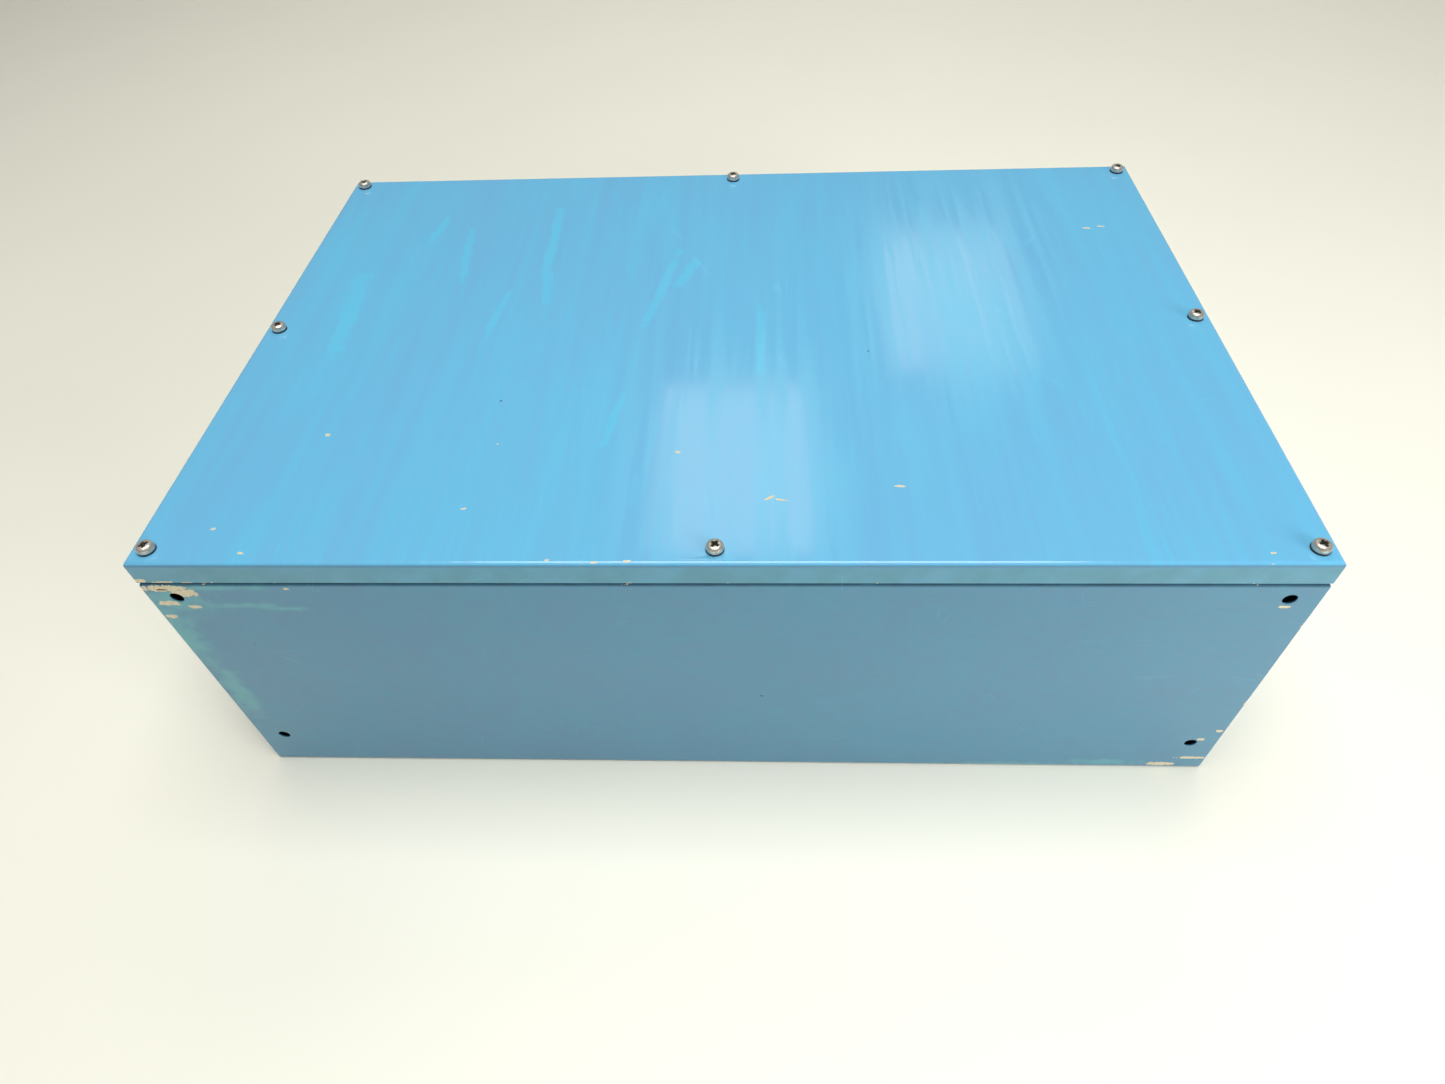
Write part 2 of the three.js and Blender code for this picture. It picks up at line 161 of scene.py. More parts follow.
class EnclosurePaintSettings(bpy.types.PropertyGroup):
    """Colours and finish of the paint."""

    paint: colour("Paint", "Sound blue paint", (0.150, 0.428, 0.688))
    # Painted shade: the body gets the cover's paint darkened by this share, standing in for the shade on its
    # upright walls.
    painted_shade: share("Body shade", "How much darker the body's paint is than the cover's", 0.47)
    faded: colour("Faded paint", "Paint bleached towards turquoise", (0.115, 0.530, 0.770))
    # The skirt colour is a greener weathered tint, also darkened as painted shade for the upright skirt.
    skirt: colour("Skirt paint", "Weathered paint on the cover's skirt", (0.088, 0.300, 0.385))
    smear: colour("Smear", "Greenish bloom on weathered paint", (0.105, 0.390, 0.430))
    primer: colour("Primer", "Beige primer under a chip", (0.74, 0.66, 0.47))
    rust: colour("Rust", "Bare metal that has rusted", (0.20, 0.125, 0.055))
    # Dark specks of dirt use this colour, and so does the painted shade on the shoulder under the cover's
    # skirt.
    dirt_and_shade: colour("Dirt", "Dark specks and grime", (0.035, 0.05, 0.055))
    roughness: share("Paint roughness", "Roughness of sound paint", 0.11)
    chip_depth: length("Chip depth", "Thickness of the paint film", 0.12)
    streaks: share("Streaks", "Strength of the bleached streaks on the cover", 0.45)


class EnclosureHardwareSettings(bpy.types.PropertyGroup):
    """Sizes and colours of the screws, bushes, studs and nuts."""

    screw_radius: length("Screw radius", "Outside radius of the cover screws' thread", 2.5)
    screw_pitch: length("Screw pitch", "Rise of a cover screw in one turn", 0.8)
    head_rim: length("Head rim", "Upright height of the pan head", 1.3)
    crown_radius: length("Crown radius", "Flat part of the pan head's crown", 2.2)
    recess_span: length("Recess span", "Tip to tip of the cross recess", 4.9)
    recess_depth: length("Recess depth", "Depth of the cross recess", 2.3)
    plate_stud_radius: length("Plate stud radius", "Thread radius of the plate studs", 4.0)
    plate_stud_pitch: length("Plate stud pitch", "Thread pitch of the plate studs", 1.25)
    earth_stud_radius: length("Earth stud radius", "Thread radius of the earth studs", 3.0)
    earth_stud_pitch: length("Earth stud pitch", "Thread pitch of the earth studs", 1.0)
    sides: IntProperty(name="Sides", description="Facets round a turned piece", default=48, min=12, max=96)
    steel: colour("Screw steel", "Dulled bright plating", (0.74, 0.70, 0.62))
    zinc: colour("Zinc", "Yellow-tinted zinc plating", (0.62, 0.60, 0.50))
    galvanised: colour("Galvanised", "Galvanised plate", (0.52, 0.54, 0.56))
    rubber: colour("Rubber", "Black rubber", (0.022, 0.023, 0.026))


class EnclosureStageSettings(bpy.types.PropertyGroup):
    """Camera, floor and lights."""

    camera_place: FloatVectorProperty(
        name="Camera place",
        description="Where the camera stands",
        default=(0.0258, -0.4857, 0.5371),
        subtype="XYZ",
    )
    camera_turn: FloatVectorProperty(
        name="Camera turn",
        description="The camera's rotation",
        default=(0.7282, 0.0377, 0.0317),
        subtype="EULER",
    )
    lens: FloatProperty(
        name="Lens", description="Focal length in millimetres", default=22.59, min=10, max=200
    )
    floor: colour("Floor", "Pale floor", (0.90, 0.89, 0.78))
    key_power: FloatProperty(
        name="Overhead power", description="Watts of the soft overhead light", default=51
    )
    world_strength: FloatProperty(name="Room", description="Brightness of the room around", default=0.14)


# ---- meshes ----


def arc(centre, radius, start, end, steps):
    """Points of an arc in a section, from start to end in degrees."""
    turns = (math.radians(start + (end - start) * i / steps) for i in range(steps + 1))
    return [(centre[0] + radius * math.cos(a), centre[1] + radius * math.sin(a)) for a in turns]


def run(start, end, steps):
    """Points of a straight stretch of a section, both ends included."""
    return [tuple(a + (b - a) * i / steps for a, b in zip(start, end)) for i in range(steps + 1)]


def plan_ring(half_x, half_y, radius):
    """A rounded rectangle as a closed list of points, evenly divided along its sides."""
    radius = max(radius, 0.0)
    points = []
    sides = ((half_x, half_y, SIDE_STEPS[0]), (half_y, half_x, SIDE_STEPS[1])) * 2
    for turn, (along, across, steps) in enumerate(sides):
        spin = Matrix.Rotation(turn * math.pi / 2, 2)
        side = run((radius - along, -across), (along - radius, -across), steps)
        corner = arc((along - radius, radius - across), radius, -90, 0, CORNER_STEPS)[1:-1]
        points += [spin @ Vector(p) for p in side + corner]
    return points


def bridge(mesh, first, second):
    """A band of quads between two closed rings, without the ones that have shrunk to a line."""
    for i in range(len(first)):
        k = (i + 1) % len(first)
        corners = list(dict.fromkeys((first[i], first[k], second[k], second[i])))
        if len(corners) > 2:
            mesh.faces.new(corners)


def folded_sheet(section, half_x, half_y, corner_radius, caps=True):
    """A closed shell: (inset, height) points carried round the plan, the two ends capped by panels."""
    mesh = bmesh.new()
    rings = []
    for inset, height in section:
        ring = plan_ring(half_x - inset, half_y - inset, corner_radius - inset)
        rings.append([mesh.verts.new((p.x, p.y, height)) for p in ring])
    for first, second in zip(rings, rings[1:] + ([] if caps else rings[:1])):
        bridge(mesh, first, second)
    if caps:
        for inset, height in (section[0], section[-1]):
            add_panel(mesh, half_x - inset, half_y - inset, height)
    bmesh.ops.remove_doubles(mesh, verts=mesh.verts, dist=0.002 * MM)
    bmesh.ops.dissolve_degenerate(mesh, edges=mesh.edges, dist=0.001 * MM)
    bmesh.ops.recalc_face_normals(mesh, faces=mesh.faces)
    return mesh


def add_panel(mesh, half_x, half_y, height):
    """A flat rectangle of even quads that meets the last ring of a folded sheet."""
    steps_x, steps_y = SIDE_STEPS
    rows = [
        [mesh.verts.new((x, y, height)) for (x,) in run((-half_x,), (half_x,), steps_x)]
        for (y,) in run((-half_y,), (half_y,), steps_y)
    ]
    for low, high in zip(rows, rows[1:]):
        for i in range(steps_x):
            mesh.faces.new((low[i], low[i + 1], high[i + 1], high[i]))


def turned(profile, sides, displace=None):
    """A turned solid: (radius, height) points from one end of the axis to the other, or a closed ring."""
    mesh = bmesh.new()
    closed = profile[0][0] > 0 or profile[-1][0] > 0
    rings = []
    for radius, height in profile:
        if radius <= 0:
            rings.append([mesh.verts.new((0, 0, height))] * sides)
            continue
        ring = []
        for i in range(sides):
            turn = 2 * math.pi * i / sides
            reach = radius + (displace(turn, height, radius) if displace else 0)
            ring.append(mesh.verts.new((reach * math.cos(turn), reach * math.sin(turn), height)))
        rings.append(ring)
    for first, second in zip(rings, rings[1:] + (rings[:1] if closed else [])):
        bridge(mesh, first, second)
    bmesh.ops.recalc_face_normals(mesh, faces=mesh.faces)
    return mesh


def prism(outlines, heights):
    """A closed solid between two outlines with the same number of (x, y) points, each at its own height."""
    mesh = bmesh.new()
    low, high = ([mesh.verts.new((x, y, z)) for x, y in points] for points, z in zip(outlines, heights))
    mesh.faces.new(low)
    mesh.faces.new(high)
    bridge(mesh, low, high)
    bmesh.ops.recalc_face_normals(mesh, faces=mesh.faces)
    return mesh


def joined(*meshes):
    """Several meshes as one, each freed."""
    whole = bmesh.new()
    for mesh in meshes:
        data = bpy.data.meshes.new("joined")
        mesh.to_mesh(data)
        mesh.free()
        whole.from_mesh(data)
        bpy.data.meshes.remove(data)
    return whole


def moved(mesh, place, turn=None):
    """The mesh turned and then moved."""
    matrix = Matrix.Translation(place) @ (turn.to_4x4() if turn else Matrix.Identity(4))
    bmesh.ops.transform(mesh, matrix=matrix, verts=mesh.verts)
    return mesh


def linked(name, data):
    """A new object in the scene."""
    made = bpy.data.objects.new(name, data)
    bpy.context.scene.collection.objects.link(made)
    return made


def make_object(name, mesh):
    """A smooth-shaded object whose creases stay sharp."""
    data = bpy.data.meshes.new(name)
    mesh.to_mesh(data)
    mesh.free()
    data.shade_smooth()
    data.set_sharp_from_angle(angle=SHARP_ANGLE)
    return linked(name, data)


def place_turned(piece, x, y, z=0.0, degrees=0.0):
    """Stands a piece at a place, turned about its own axis."""
    piece.location = (x, y, z)
    piece.rotation_euler.z = math.radians(degrees)
    bpy.context.view_layer.update()
    return piece


def round_cutters(spots, radius, depth, rise, top, sides):
    """A cylinder at each spot, from depth below the face at top to rise above it."""
    profile = [(0, -depth), (radius, -depth), (radius, rise), (0, rise)]
    return [moved(turned(profile, sides), (spot.x, spot.y, top)) for spot in spots]


def drill(target, cutters):
    """Takes the cutters' solids out of the target's mesh for good."""
    cutter = make_object("cutter", joined(*cutters))
    hole = target.modifiers.new("Holes", "BOOLEAN")
    hole.operation, hole.solver, hole.object = "DIFFERENCE", "EXACT", cutter
    bpy.context.view_layer.update()
    evaluated = target.evaluated_get(bpy.context.evaluated_depsgraph_get())
    cut = bpy.data.meshes.new_from_object(evaluated)
    target.modifiers.remove(hole)
    old, target.data = target.data, cut
    cut.name = target.name
    bpy.data.meshes.remove(old)
    bpy.data.objects.remove(cutter)


def even_normals(piece):
    """Keeps broad flats flat beside their rounded edges."""
    weighted = piece.modifiers.new("Weighted normals", "WEIGHTED_NORMAL")
    weighted.keep_sharp = True
    weighted.weight = 90


def settle(piece, body, slot, material, *nodes):
    """Gives a finished piece its material and the body it rides on, and hides the CAD nodes it stands for."""
    piece.data.materials.clear()
    piece.data.materials.append(material)
    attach(piece, body)
    if nodes:
        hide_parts(*nodes)


# ---- shader nodes ----


class NodeWriter:
    """Adds nodes to one tree and links them."""

    def __init__(self, tree):
        self.tree = tree

    def add(self, kind, inputs=None, **settings):
        made = self.tree.nodes.new("ShaderNode" + kind)
        for key, value in settings.items():
            setattr(made, key, value)
        for key, value in (inputs or {}).items():
            self.feed(made.inputs[key], value)
        return made

    def feed(self, socket, value):
        if isinstance(value, bpy.types.NodeSocket):
            self.tree.links.new(value, socket)
        elif value is not None:
            socket.default_value = value

    def maths(self, operation, *values):
        return self.add("Math", dict(enumerate(values)), operation=operation).outputs[0]

    def fold(self, operation, values):
        """One value from several, two at a time from the left."""
        return reduce(lambda first, second: self.maths(operation, first, second), values)

    def times(self, *values):
        return self.fold("MULTIPLY", values)

    def plus(self, *values):
        return self.fold("ADD", values)

    def minus(self, *values):
        return self.fold("SUBTRACT", values)

    def most(self, *values):
        return self.fold("MAXIMUM", values)

    def vector(self, operation, *values, scale=None):
        made = self.add("VectorMath", dict(enumerate(values)), operation=operation)
        if scale is not None:
            self.feed(made.inputs["Scale"], scale)
        return made.outputs["Value" if operation in ("LENGTH", "DOT_PRODUCT") else "Vector"]

    def stretched(self, position, scale_y, turn=(0, 0, 0)):
        inputs = {"Vector": position, "Rotation": turn, "Scale": (1.0, scale_y, 1.0)}
        return self.add("Mapping", inputs).outputs[0]

    def ease(self, value, low, high, to_low=0.0, to_high=1.0):
        inputs = {"Value": value, "From Min": low, "From Max": high, "To Min": to_low, "To Max": to_high}
        return self.add("MapRange", inputs, interpolation_type="SMOOTHSTEP").outputs["Result"]

    def blend(self, mask, first, second):
        return self.add("Mix", {0: mask, 6: first, 7: second}, data_type="RGBA").outputs[2]

    def split(self, vector):
        return self.add("SeparateXYZ", {0: vector}).outputs

    def grain(self, position, scale, detail=2.0, roughness=0.5, distortion=0.0):
        inputs = {"Vector": position, "Scale": scale, "Detail": detail, "Roughness": roughness}
        return self.add("TexNoise", {**inputs, "Distortion": distortion}).outputs["Fac"]

    def place(self, group_name, position, **inputs):
        """One of the shared groups; an underscore in an input's name stands for a space."""
        made = self.add("Group", node_tree=bpy.data.node_groups[group_name])
        for key, value in {"Position": position, **inputs}.items():
            self.feed(made.inputs[key.replace("_", " ")], value)
        return made.outputs


def rgba(tint, factor=1.0, lift=0.0):
    """A colour for a socket, darkened or brightened."""
    return (*(min(1.0, value * factor + lift) for value in tint), 1.0)


def new_group(name, inputs, *outputs):
    """An empty shader group: (writer, its position, its inputs, the sockets of its output node).

    An input with a number is a number, and any other is a vector.
    """
    tree = bpy.data.node_groups.new(name, "ShaderNodeTree")
    for label, default in {"Position": None, **inputs}.items():
        kind = "NodeSocketFloat" if isinstance(default, float) else "NodeSocketVector"
        socket = tree.interface.new_socket(label, in_out="INPUT", socket_type=kind)
        if default is not None:
            socket.default_value = default
    for label in outputs:
        tree.interface.new_socket(label, in_out="OUTPUT", socket_type="NodeSocketFloat")
    given = tree.nodes.new("NodeGroupInput").outputs
    return NodeWriter(tree), given["Position"], given, tree.nodes.new("NodeGroupOutput").inputs


def make_mark_group():
    """One stretched mark with a ragged or soft edge, such as a chip or a bleached stroke."""
    writer, position, given, out = new_group(
        "Mark",
        {"Centre": None, "Half Size": (0.01, 0.01, 0.01), "Turn": 0.0, "Ragged": 0.0, "Softness": 0.1},
        "Mask",
    )
    offset = writer.vector("SUBTRACT", position, given["Centre"])
    laid = writer.add("VectorRotate", {"Vector": offset, "Angle": given["Turn"]}, rotation_type="Z_AXIS")
    shares = writer.vector("DIVIDE", laid.outputs[0], given["Half Size"])
    squared = writer.vector("MULTIPLY", shares, shares)
    blunt = writer.maths("SQRT", writer.maths("SQRT", writer.vector("DOT_PRODUCT", squared, squared)))
    oval = writer.vector("LENGTH", shares)
    reach = writer.plus(writer.times(blunt, 0.7), writer.times(oval, 0.3), given["Ragged"])
    soft_from = writer.minus(1.0, given["Softness"])
    writer.feed(out["Mask"], writer.minus(1.0, writer.ease(reach, soft_from, 1.0)))


def make_edge_group():
    """Where paint is worn off a box's outer edges, and which points lie on its outside."""
    writer, position, given, out = new_group(
        "Worn Edges", {"Low": None, "High": None, "Reach": 0.001, "Amount": 0.5}, "Mask", "Outside"
    )
    from_low = writer.vector("SUBTRACT", position, given["Low"])
    from_high = writer.vector("SUBTRACT", given["High"], position)
    depths = writer.split(writer.vector("MINIMUM", from_low, from_high))
    nearest = writer.fold("MINIMUM", depths)
    middle = writer.minus(writer.plus(*depths), writer.most(*depths), nearest)
    outside = writer.ease(nearest, 0.9 * MM, 0.6 * MM)
    patchy = writer.grain(position, 55.0, 4.0, 0.65)
    fine = writer.grain(position, 600.0, 3.0, 0.6)
    lowest = writer.minus(0.78, writer.times(given["Amount"], 0.4))
    wear = writer.ease(patchy, lowest, writer.plus(lowest, 0.1))
    limit = writer.times(wear, given["Reach"], writer.ease(fine, 0.3, 0.7, 0.3, 1.2))
    writer.feed(out["Mask"], writer.times(writer.maths("LESS_THAN", middle, limit), outside))
    writer.feed(out["Outside"], outside)


def make_fade_group():
    """Sun-bleached paint: long wiped strokes along Y over soft clouds."""
    writer, position, given, out = new_group("Fade Streaks", {"Amount": 0.5}, "Strokes", "Clouds", "Wipe")
    layers = []
    for scale, low, tilt in ((95.0, 0.60, 0.10), (42.0, 0.585, -0.12), (170.0, 0.62, 0.03)):
        tilted = writer.stretched(position, 0.085, (0, 0, tilt))
        layers.append(writer.ease(writer.grain(tilted, scale, 3.0, 0.55, 0.15), low, low + 0.09))
    gate = writer.ease(writer.grain(position, 9.0, 2.0), 0.40, 0.62, 0.15, 1.0)
    writer.feed(out["Strokes"], writer.times(writer.most(*layers), gate, given["Amount"]))
    clouds = writer.grain(writer.stretched(position, 0.35), 14.0, 5.0, 0.6, 0.3)
    writer.feed(out["Clouds"], writer.ease(clouds, 0.32, 0.70))
    combed = writer.grain(writer.stretched(position, 0.035, (0, 0, 0.03)), 110.0, 5.0, 0.7)
    writer.feed(out["Wipe"], writer.ease(combed, 0.34, 0.66))


def make_scratch_group():
    """Hair-thin scratches in one direction, thinned out by a patchy gate."""
    writer, position, given, out = new_group(
        "Hair Scratches", {"Turn": (0, 0, 0.4), "Density": 30.0, "Amount": 0.3}, "Mask"
    )
    laid = writer.stretched(position, 0.12, given["Turn"])
    bent = writer.times(writer.grain(position, 18.0, 2.0), 0.012)
    laid = writer.vector("ADD", laid, writer.add("CombineXYZ", {0: bent}).outputs[0])
    cells = writer.add("TexVoronoi", {"Vector": laid, "Scale": given["Density"]}, feature="DISTANCE_TO_EDGE")
    line = writer.ease(cells.outputs["Distance"], 0.006, 0.002)
    gate = writer.ease(writer.grain(position, 35.0, 3.0), 0.56, 0.66)
    writer.feed(out["Mask"], writer.times(line, gate, given["Amount"]))


def make_speck_group():
    """Small scattered specks: one in a share of the cells, each of its own size."""
    writer, position, given, out = new_group("Specks", {"Scale": 60.0, "Share": 0.1, "Size": 0.12}, "Mask")
    ragged = writer.grain(position, 900.0, 2.0)
    cells = writer.add("TexVoronoi", {"Vector": position, "Scale": given["Scale"]}).outputs
    chance, size, _ = writer.split(cells["Color"])
    chosen = writer.maths("LESS_THAN", chance, given["Share"])
    radius = writer.times(given["Size"], writer.ease(size, 0.0, 1.0, 0.4, 1.0))
    reach = writer.times(radius, writer.ease(ragged, 0.3, 0.7, 0.6, 1.3))
    writer.feed(out["Mask"], writer.times(chosen, writer.maths("LESS_THAN", cells["Distance"], reach)))


def make_peel_group():
    """The skin of sprayed paint: fine orange peel on slow waves."""
    writer, position, _, out = new_group("Orange Peel", {}, "Height")
    fine = writer.grain(position, 420.0, 2.0, 0.5)
    slow = writer.grain(position, 28.0, 2.0, 0.5)
    writer.feed(out["Height"], writer.plus(writer.times(fine, 0.12), slow))


def make_plating_group():
    """Dulled plating: a tarnish mask and a fine surface height."""
    writer, position, given, out = new_group("Plating", {"Scale": 1.0}, "Tarnish", "Height")
    scaled = writer.vector("SCALE", position, scale=given["Scale"])
    broad = writer.grain(scaled, 260.0, 4.0, 0.6)
    fine = writer.grain(scaled, 1800.0, 3.0, 0.6)
    writer.feed(out["Tarnish"], writer.ease(writer.plus(broad, writer.times(fine, 0.35)), 0.55, 0.90))
    writer.feed(out["Height"], fine)


GROUP_BUILDERS = {
    "Mark": make_mark_group,
    "Worn Edges": make_edge_group,
    "Fade Streaks": make_fade_group,
    "Hair Scratches": make_scratch_group,
    "Specks": make_speck_group,
    "Orange Peel": make_peel_group,
    "Plating": make_plating_group,
}


# ---- materials ----


def new_material(name):
    """A fresh material: (material, writer, its Principled shader, the object position)."""
    for group_name, build in GROUP_BUILDERS.items():
        if group_name not in bpy.data.node_groups:
            build()
    material = bpy.data.materials.new(name)
    material.use_nodes = True
    writer = NodeWriter(material.node_tree)
    shader = material.node_tree.nodes["Principled BSDF"]
    position = writer.add("TexCoord").outputs["Object"]
    return material, writer, shader, position


def surface(writer, shader, tint, roughness, metallic=0.0):
    """Colour, roughness and metal of the shader, each a number or a socket."""
    for label, value in (("Base Color", tint), ("Roughness", roughness), ("Metallic", metallic)):
        writer.feed(shader.inputs[label], value)


def raised(writer, shader, height, strength, distance):
    """Small relief on the surface."""
    bump = writer.add("Bump", {"Height": height, "Strength": strength, "Distance": distance})
    writer.feed(shader.inputs["Normal"], bump.outputs["Normal"])


def marks_mask(writer, position, ragged, marks, softness):
    """The union of many marks, each (centre, half size, turn)."""
    layers = [
        writer.place(
            "Mark", position, Centre=centre, Half_Size=half, Turn=turn, Ragged=ragged, Softness=softness
        )["Mask"]
        for centre, half, turn in marks
    ]
    return writer.most(*layers) if layers else 0.0


def skirt_tones_and_fold_shade(writer, position, paint, outside, tint, fold_height):
    """Weathered paint below the fold height, darkened as painted shade on the upright skirt, and painted
    shade as a dark line on the fold itself.
    """
    height = writer.split(position)[2]
    patchy = writer.ease(writer.grain(position, 45.0, 3.0), 0.3, 0.7, 0.55, 0.95)
    # Below the fold, in patches: weathered tint with painted shade of the upright skirt.
    weathered = writer.times(writer.ease(height, fold_height, fold_height - 1.2 * MM), patchy, outside)
    # Painted shade: a dark line along the rounded fold.
    fold = writer.times(
        writer.ease(height, fold_height + 1.7 * MM, fold_height + 0.9 * MM),
        writer.ease(height, fold_height - 1.0 * MM, fold_height - 0.2 * MM, 0.35, 1.0),
    )
    tint = writer.blend(weathered, tint, rgba(paint.skirt))
    # The fold's painted shade darkens the paint to three tenths.
    return writer.blend(writer.times(outside, 0.62, fold), tint, rgba(paint.paint, 0.30))


def shoulder_painted_shade(writer, position, paint, tint, foot):
    """Painted shade on the shoulder under the cover's skirt, above the foot height, nearly gone further up.
    """
    height = writer.split(position)[2]
    shoulder_shade_share = writer.times(
        writer.ease(height, foot, foot + 2.2 * MM, 0.0, 0.6),
        writer.ease(height, foot + 4 * MM, foot + 2.8 * MM, 0.12, 1.0),
        writer.ease(writer.grain(position, 60.0, 3.0), 0.3, 0.7, 0.7, 1.0),
    )
    return writer.blend(shoulder_shade_share, tint, rgba(paint.dirt_and_shade))


def paint_material(
    name, paint, box, chips=(), rust=(), strokes=(), smears=(),
    streaks=0.0, painted_shade=0.0, skirt_below=None, shoulder_shade_above=None,
):
    """Aged gloss paint over primer, with its chips, rust, bleached strokes, scratches and specks."""
    material, writer, shader, position = new_material(name)
    edges = writer.place("Worn Edges", position, Low=box[0], High=box[1], Reach=EDGE_WEAR, Amount=0.5)
    outside = edges["Outside"]
    fade = writer.place("Fade Streaks", position, Amount=streaks)
    ragged = writer.ease(writer.grain(position, 330.0, 4.0, 0.7), 0.25, 0.75, -0.38, 0.38)
    soft_edge = writer.ease(writer.grain(position, 120.0, 3.0, 0.6), 0.25, 0.75, -0.30, 0.30)

    clouds = writer.plus(writer.times(fade["Clouds"], 0.26), writer.times(fade["Wipe"], 0.30))
    # On the body both paints are darkened by the painted shade share.
    faded = rgba(paint.faded, 1 - painted_shade)
    tint = writer.blend(writer.times(clouds, outside), rgba(paint.paint, 1 - painted_shade), faded)
    wiped = writer.most(fade["Strokes"], marks_mask(writer, position, soft_edge, strokes, 0.35))
    wiped = writer.times(outside, 0.7, wiped)
    tint = writer.blend(wiped, tint, faded)
    smeared = writer.times(marks_mask(writer, position, soft_edge, smears, 0.95), 0.75)
    tint = writer.blend(smeared, tint, rgba(paint.smear))
    if skirt_below is not None:
        tint = skirt_tones_and_fold_shade(writer, position, paint, outside, tint, skirt_below)
    if shoulder_shade_above is not None:
        tint = shoulder_painted_shade(writer, position, paint, tint, shoulder_shade_above)

    scratches = writer.most(*(
        writer.place("Hair Scratches", position, Turn=turn, Density=density, Amount=amount)["Mask"]
        for turn, density, amount in (((0.0, 0.3, 0.9), 22.0, 0.10), ((0.2, 0.0, -0.6), 31.0, 0.08))
    ))
    tint = writer.blend(scratches, tint, rgba(paint.faded, 1.35, 0.05))
    specks = writer.place("Specks", position, Scale=46.0, Share=0.045, Size=0.045)["Mask"]
    tint = writer.blend(writer.times(specks, 0.8), tint, rgba(paint.dirt_and_shade))
    flecks = writer.place("Specks", position, Scale=24.0, Share=0.06, Size=0.028)["Mask"]
    placed_chips = marks_mask(writer, position, ragged, chips, 0.06)
    chipped = writer.most(edges["Mask"], placed_chips, writer.times(flecks, outside))
    mottle = writer.ease(writer.grain(position, 700.0, 3.0), 0.3, 0.7)
    bared = writer.blend(mottle, rgba(paint.primer), rgba(paint.primer, 0.80))
    rusty = marks_mask(writer, position, ragged, rust, 0.25)
    bared = writer.blend(rusty, bared, rgba(paint.rust))
    tint = writer.blend(writer.most(chipped, rusty), tint, bared)

    sheen = writer.ease(fade["Wipe"], 0, 1, paint.roughness - 0.05, paint.roughness + 0.06)
    dulled = writer.plus(writer.times(wiped, 0.06), writer.times(fade["Clouds"], 0.03), sheen)
    surface(writer, shader, tint, writer.most(dulled, writer.times(chipped, 0.62)))
    shader.inputs["IOR"].default_value = 1.6
    peel = writer.place("Orange Peel", position)["Height"]
    film = writer.minus(writer.times(peel, 0.16), chipped, writer.times(scratches, 0.4))
    raised(writer, shader, film, 0.35, paint.chip_depth)
    return material


def metal_material(name, tint, roughness, dark=0.35, metallic=1.0, recess_above=None):
    """Plated metal with tarnish, painted shade in a recess and a fine skin."""
    material, writer, shader, position = new_material(name)
    plating = writer.place("Plating", position)
    shown = writer.blend(plating["Tarnish"], rgba(tint), rgba(tint, dark))
    if recess_above is not None:
        x, y, z = writer.split(position)
        radius = writer.vector("LENGTH", writer.add("CombineXYZ", {0: x, 1: y}).outputs[0])
        # Painted shade: the cross recess darkened towards near black.
        recess_shade = writer.times(
            writer.ease(z, recess_above, recess_above - 0.6 * MM),
            writer.maths("LESS_THAN", radius, 2.3 * MM),
            writer.maths("GREATER_THAN", z, 0.2 * MM),
        )
        shown = writer.blend(writer.times(recess_shade, 0.85), shown, rgba((0.03, 0.026, 0.02)))
    rough = writer.ease(plating["Tarnish"], 0, 1, roughness, roughness + 0.22)
    surface(writer, shader, shown, rough, metallic)
    raised(writer, shader, plating["Height"], 0.25, 0.02 * MM)
    return material


def galvanised_material(name, tint):
    """A galvanised sheet with its angular spangle."""
    material, writer, shader, position = new_material(name)
    drift = writer.add("TexNoise", {"Vector": position, "Scale": 90.0}).outputs["Color"]
    bent = writer.vector("ADD", position, writer.vector("SCALE", drift, scale=0.004))
    cells = writer.add("TexVoronoi", {"Vector": bent, "Scale": 85.0}).outputs
    spangle, second, _ = writer.split(cells["Color"])
    plating = writer.place("Plating", position, Scale=0.25)
    shown = writer.blend(spangle, rgba(tint, 0.78), rgba(tint))
    shown = writer.blend(writer.times(plating["Tarnish"], 0.4), shown, rgba(tint, 0.55))
    surface(writer, shader, shown, writer.ease(second, 0, 1, 0.38, 0.55), 0.9)
    raised(writer, shader, plating["Height"], 0.2, 0.03 * MM)
    return material


def rubber_material(name, tint):
    """Matt rubber with dust in its pores."""
    material, writer, shader, position = new_material(name)
    dusty = writer.ease(writer.grain(position, 420.0, 4.0, 0.65), 0.45, 0.75)
    pores = writer.grain(position, 2600.0, 2.0)
    shown = writer.blend(dusty, rgba(tint), rgba(tint, 2.6, 0.01))
    surface(writer, shader, shown, writer.ease(pores, 0.3, 0.7, 0.62, 0.85))
    raised(writer, shader, pores, 0.5, 0.06 * MM)
    return material


def floor_material(name, tint):
    """A pale matt surface with faint variation."""
    material, writer, shader, position = new_material(name)
    soft = writer.ease(writer.grain(position, 3.0, 4.0, 0.6), 0.3, 0.7)
    surface(writer, shader, writer.blend(soft, rgba(tint), rgba(tint, 0.985)), 0.55)
    return material


# ---- marks on the paint ----

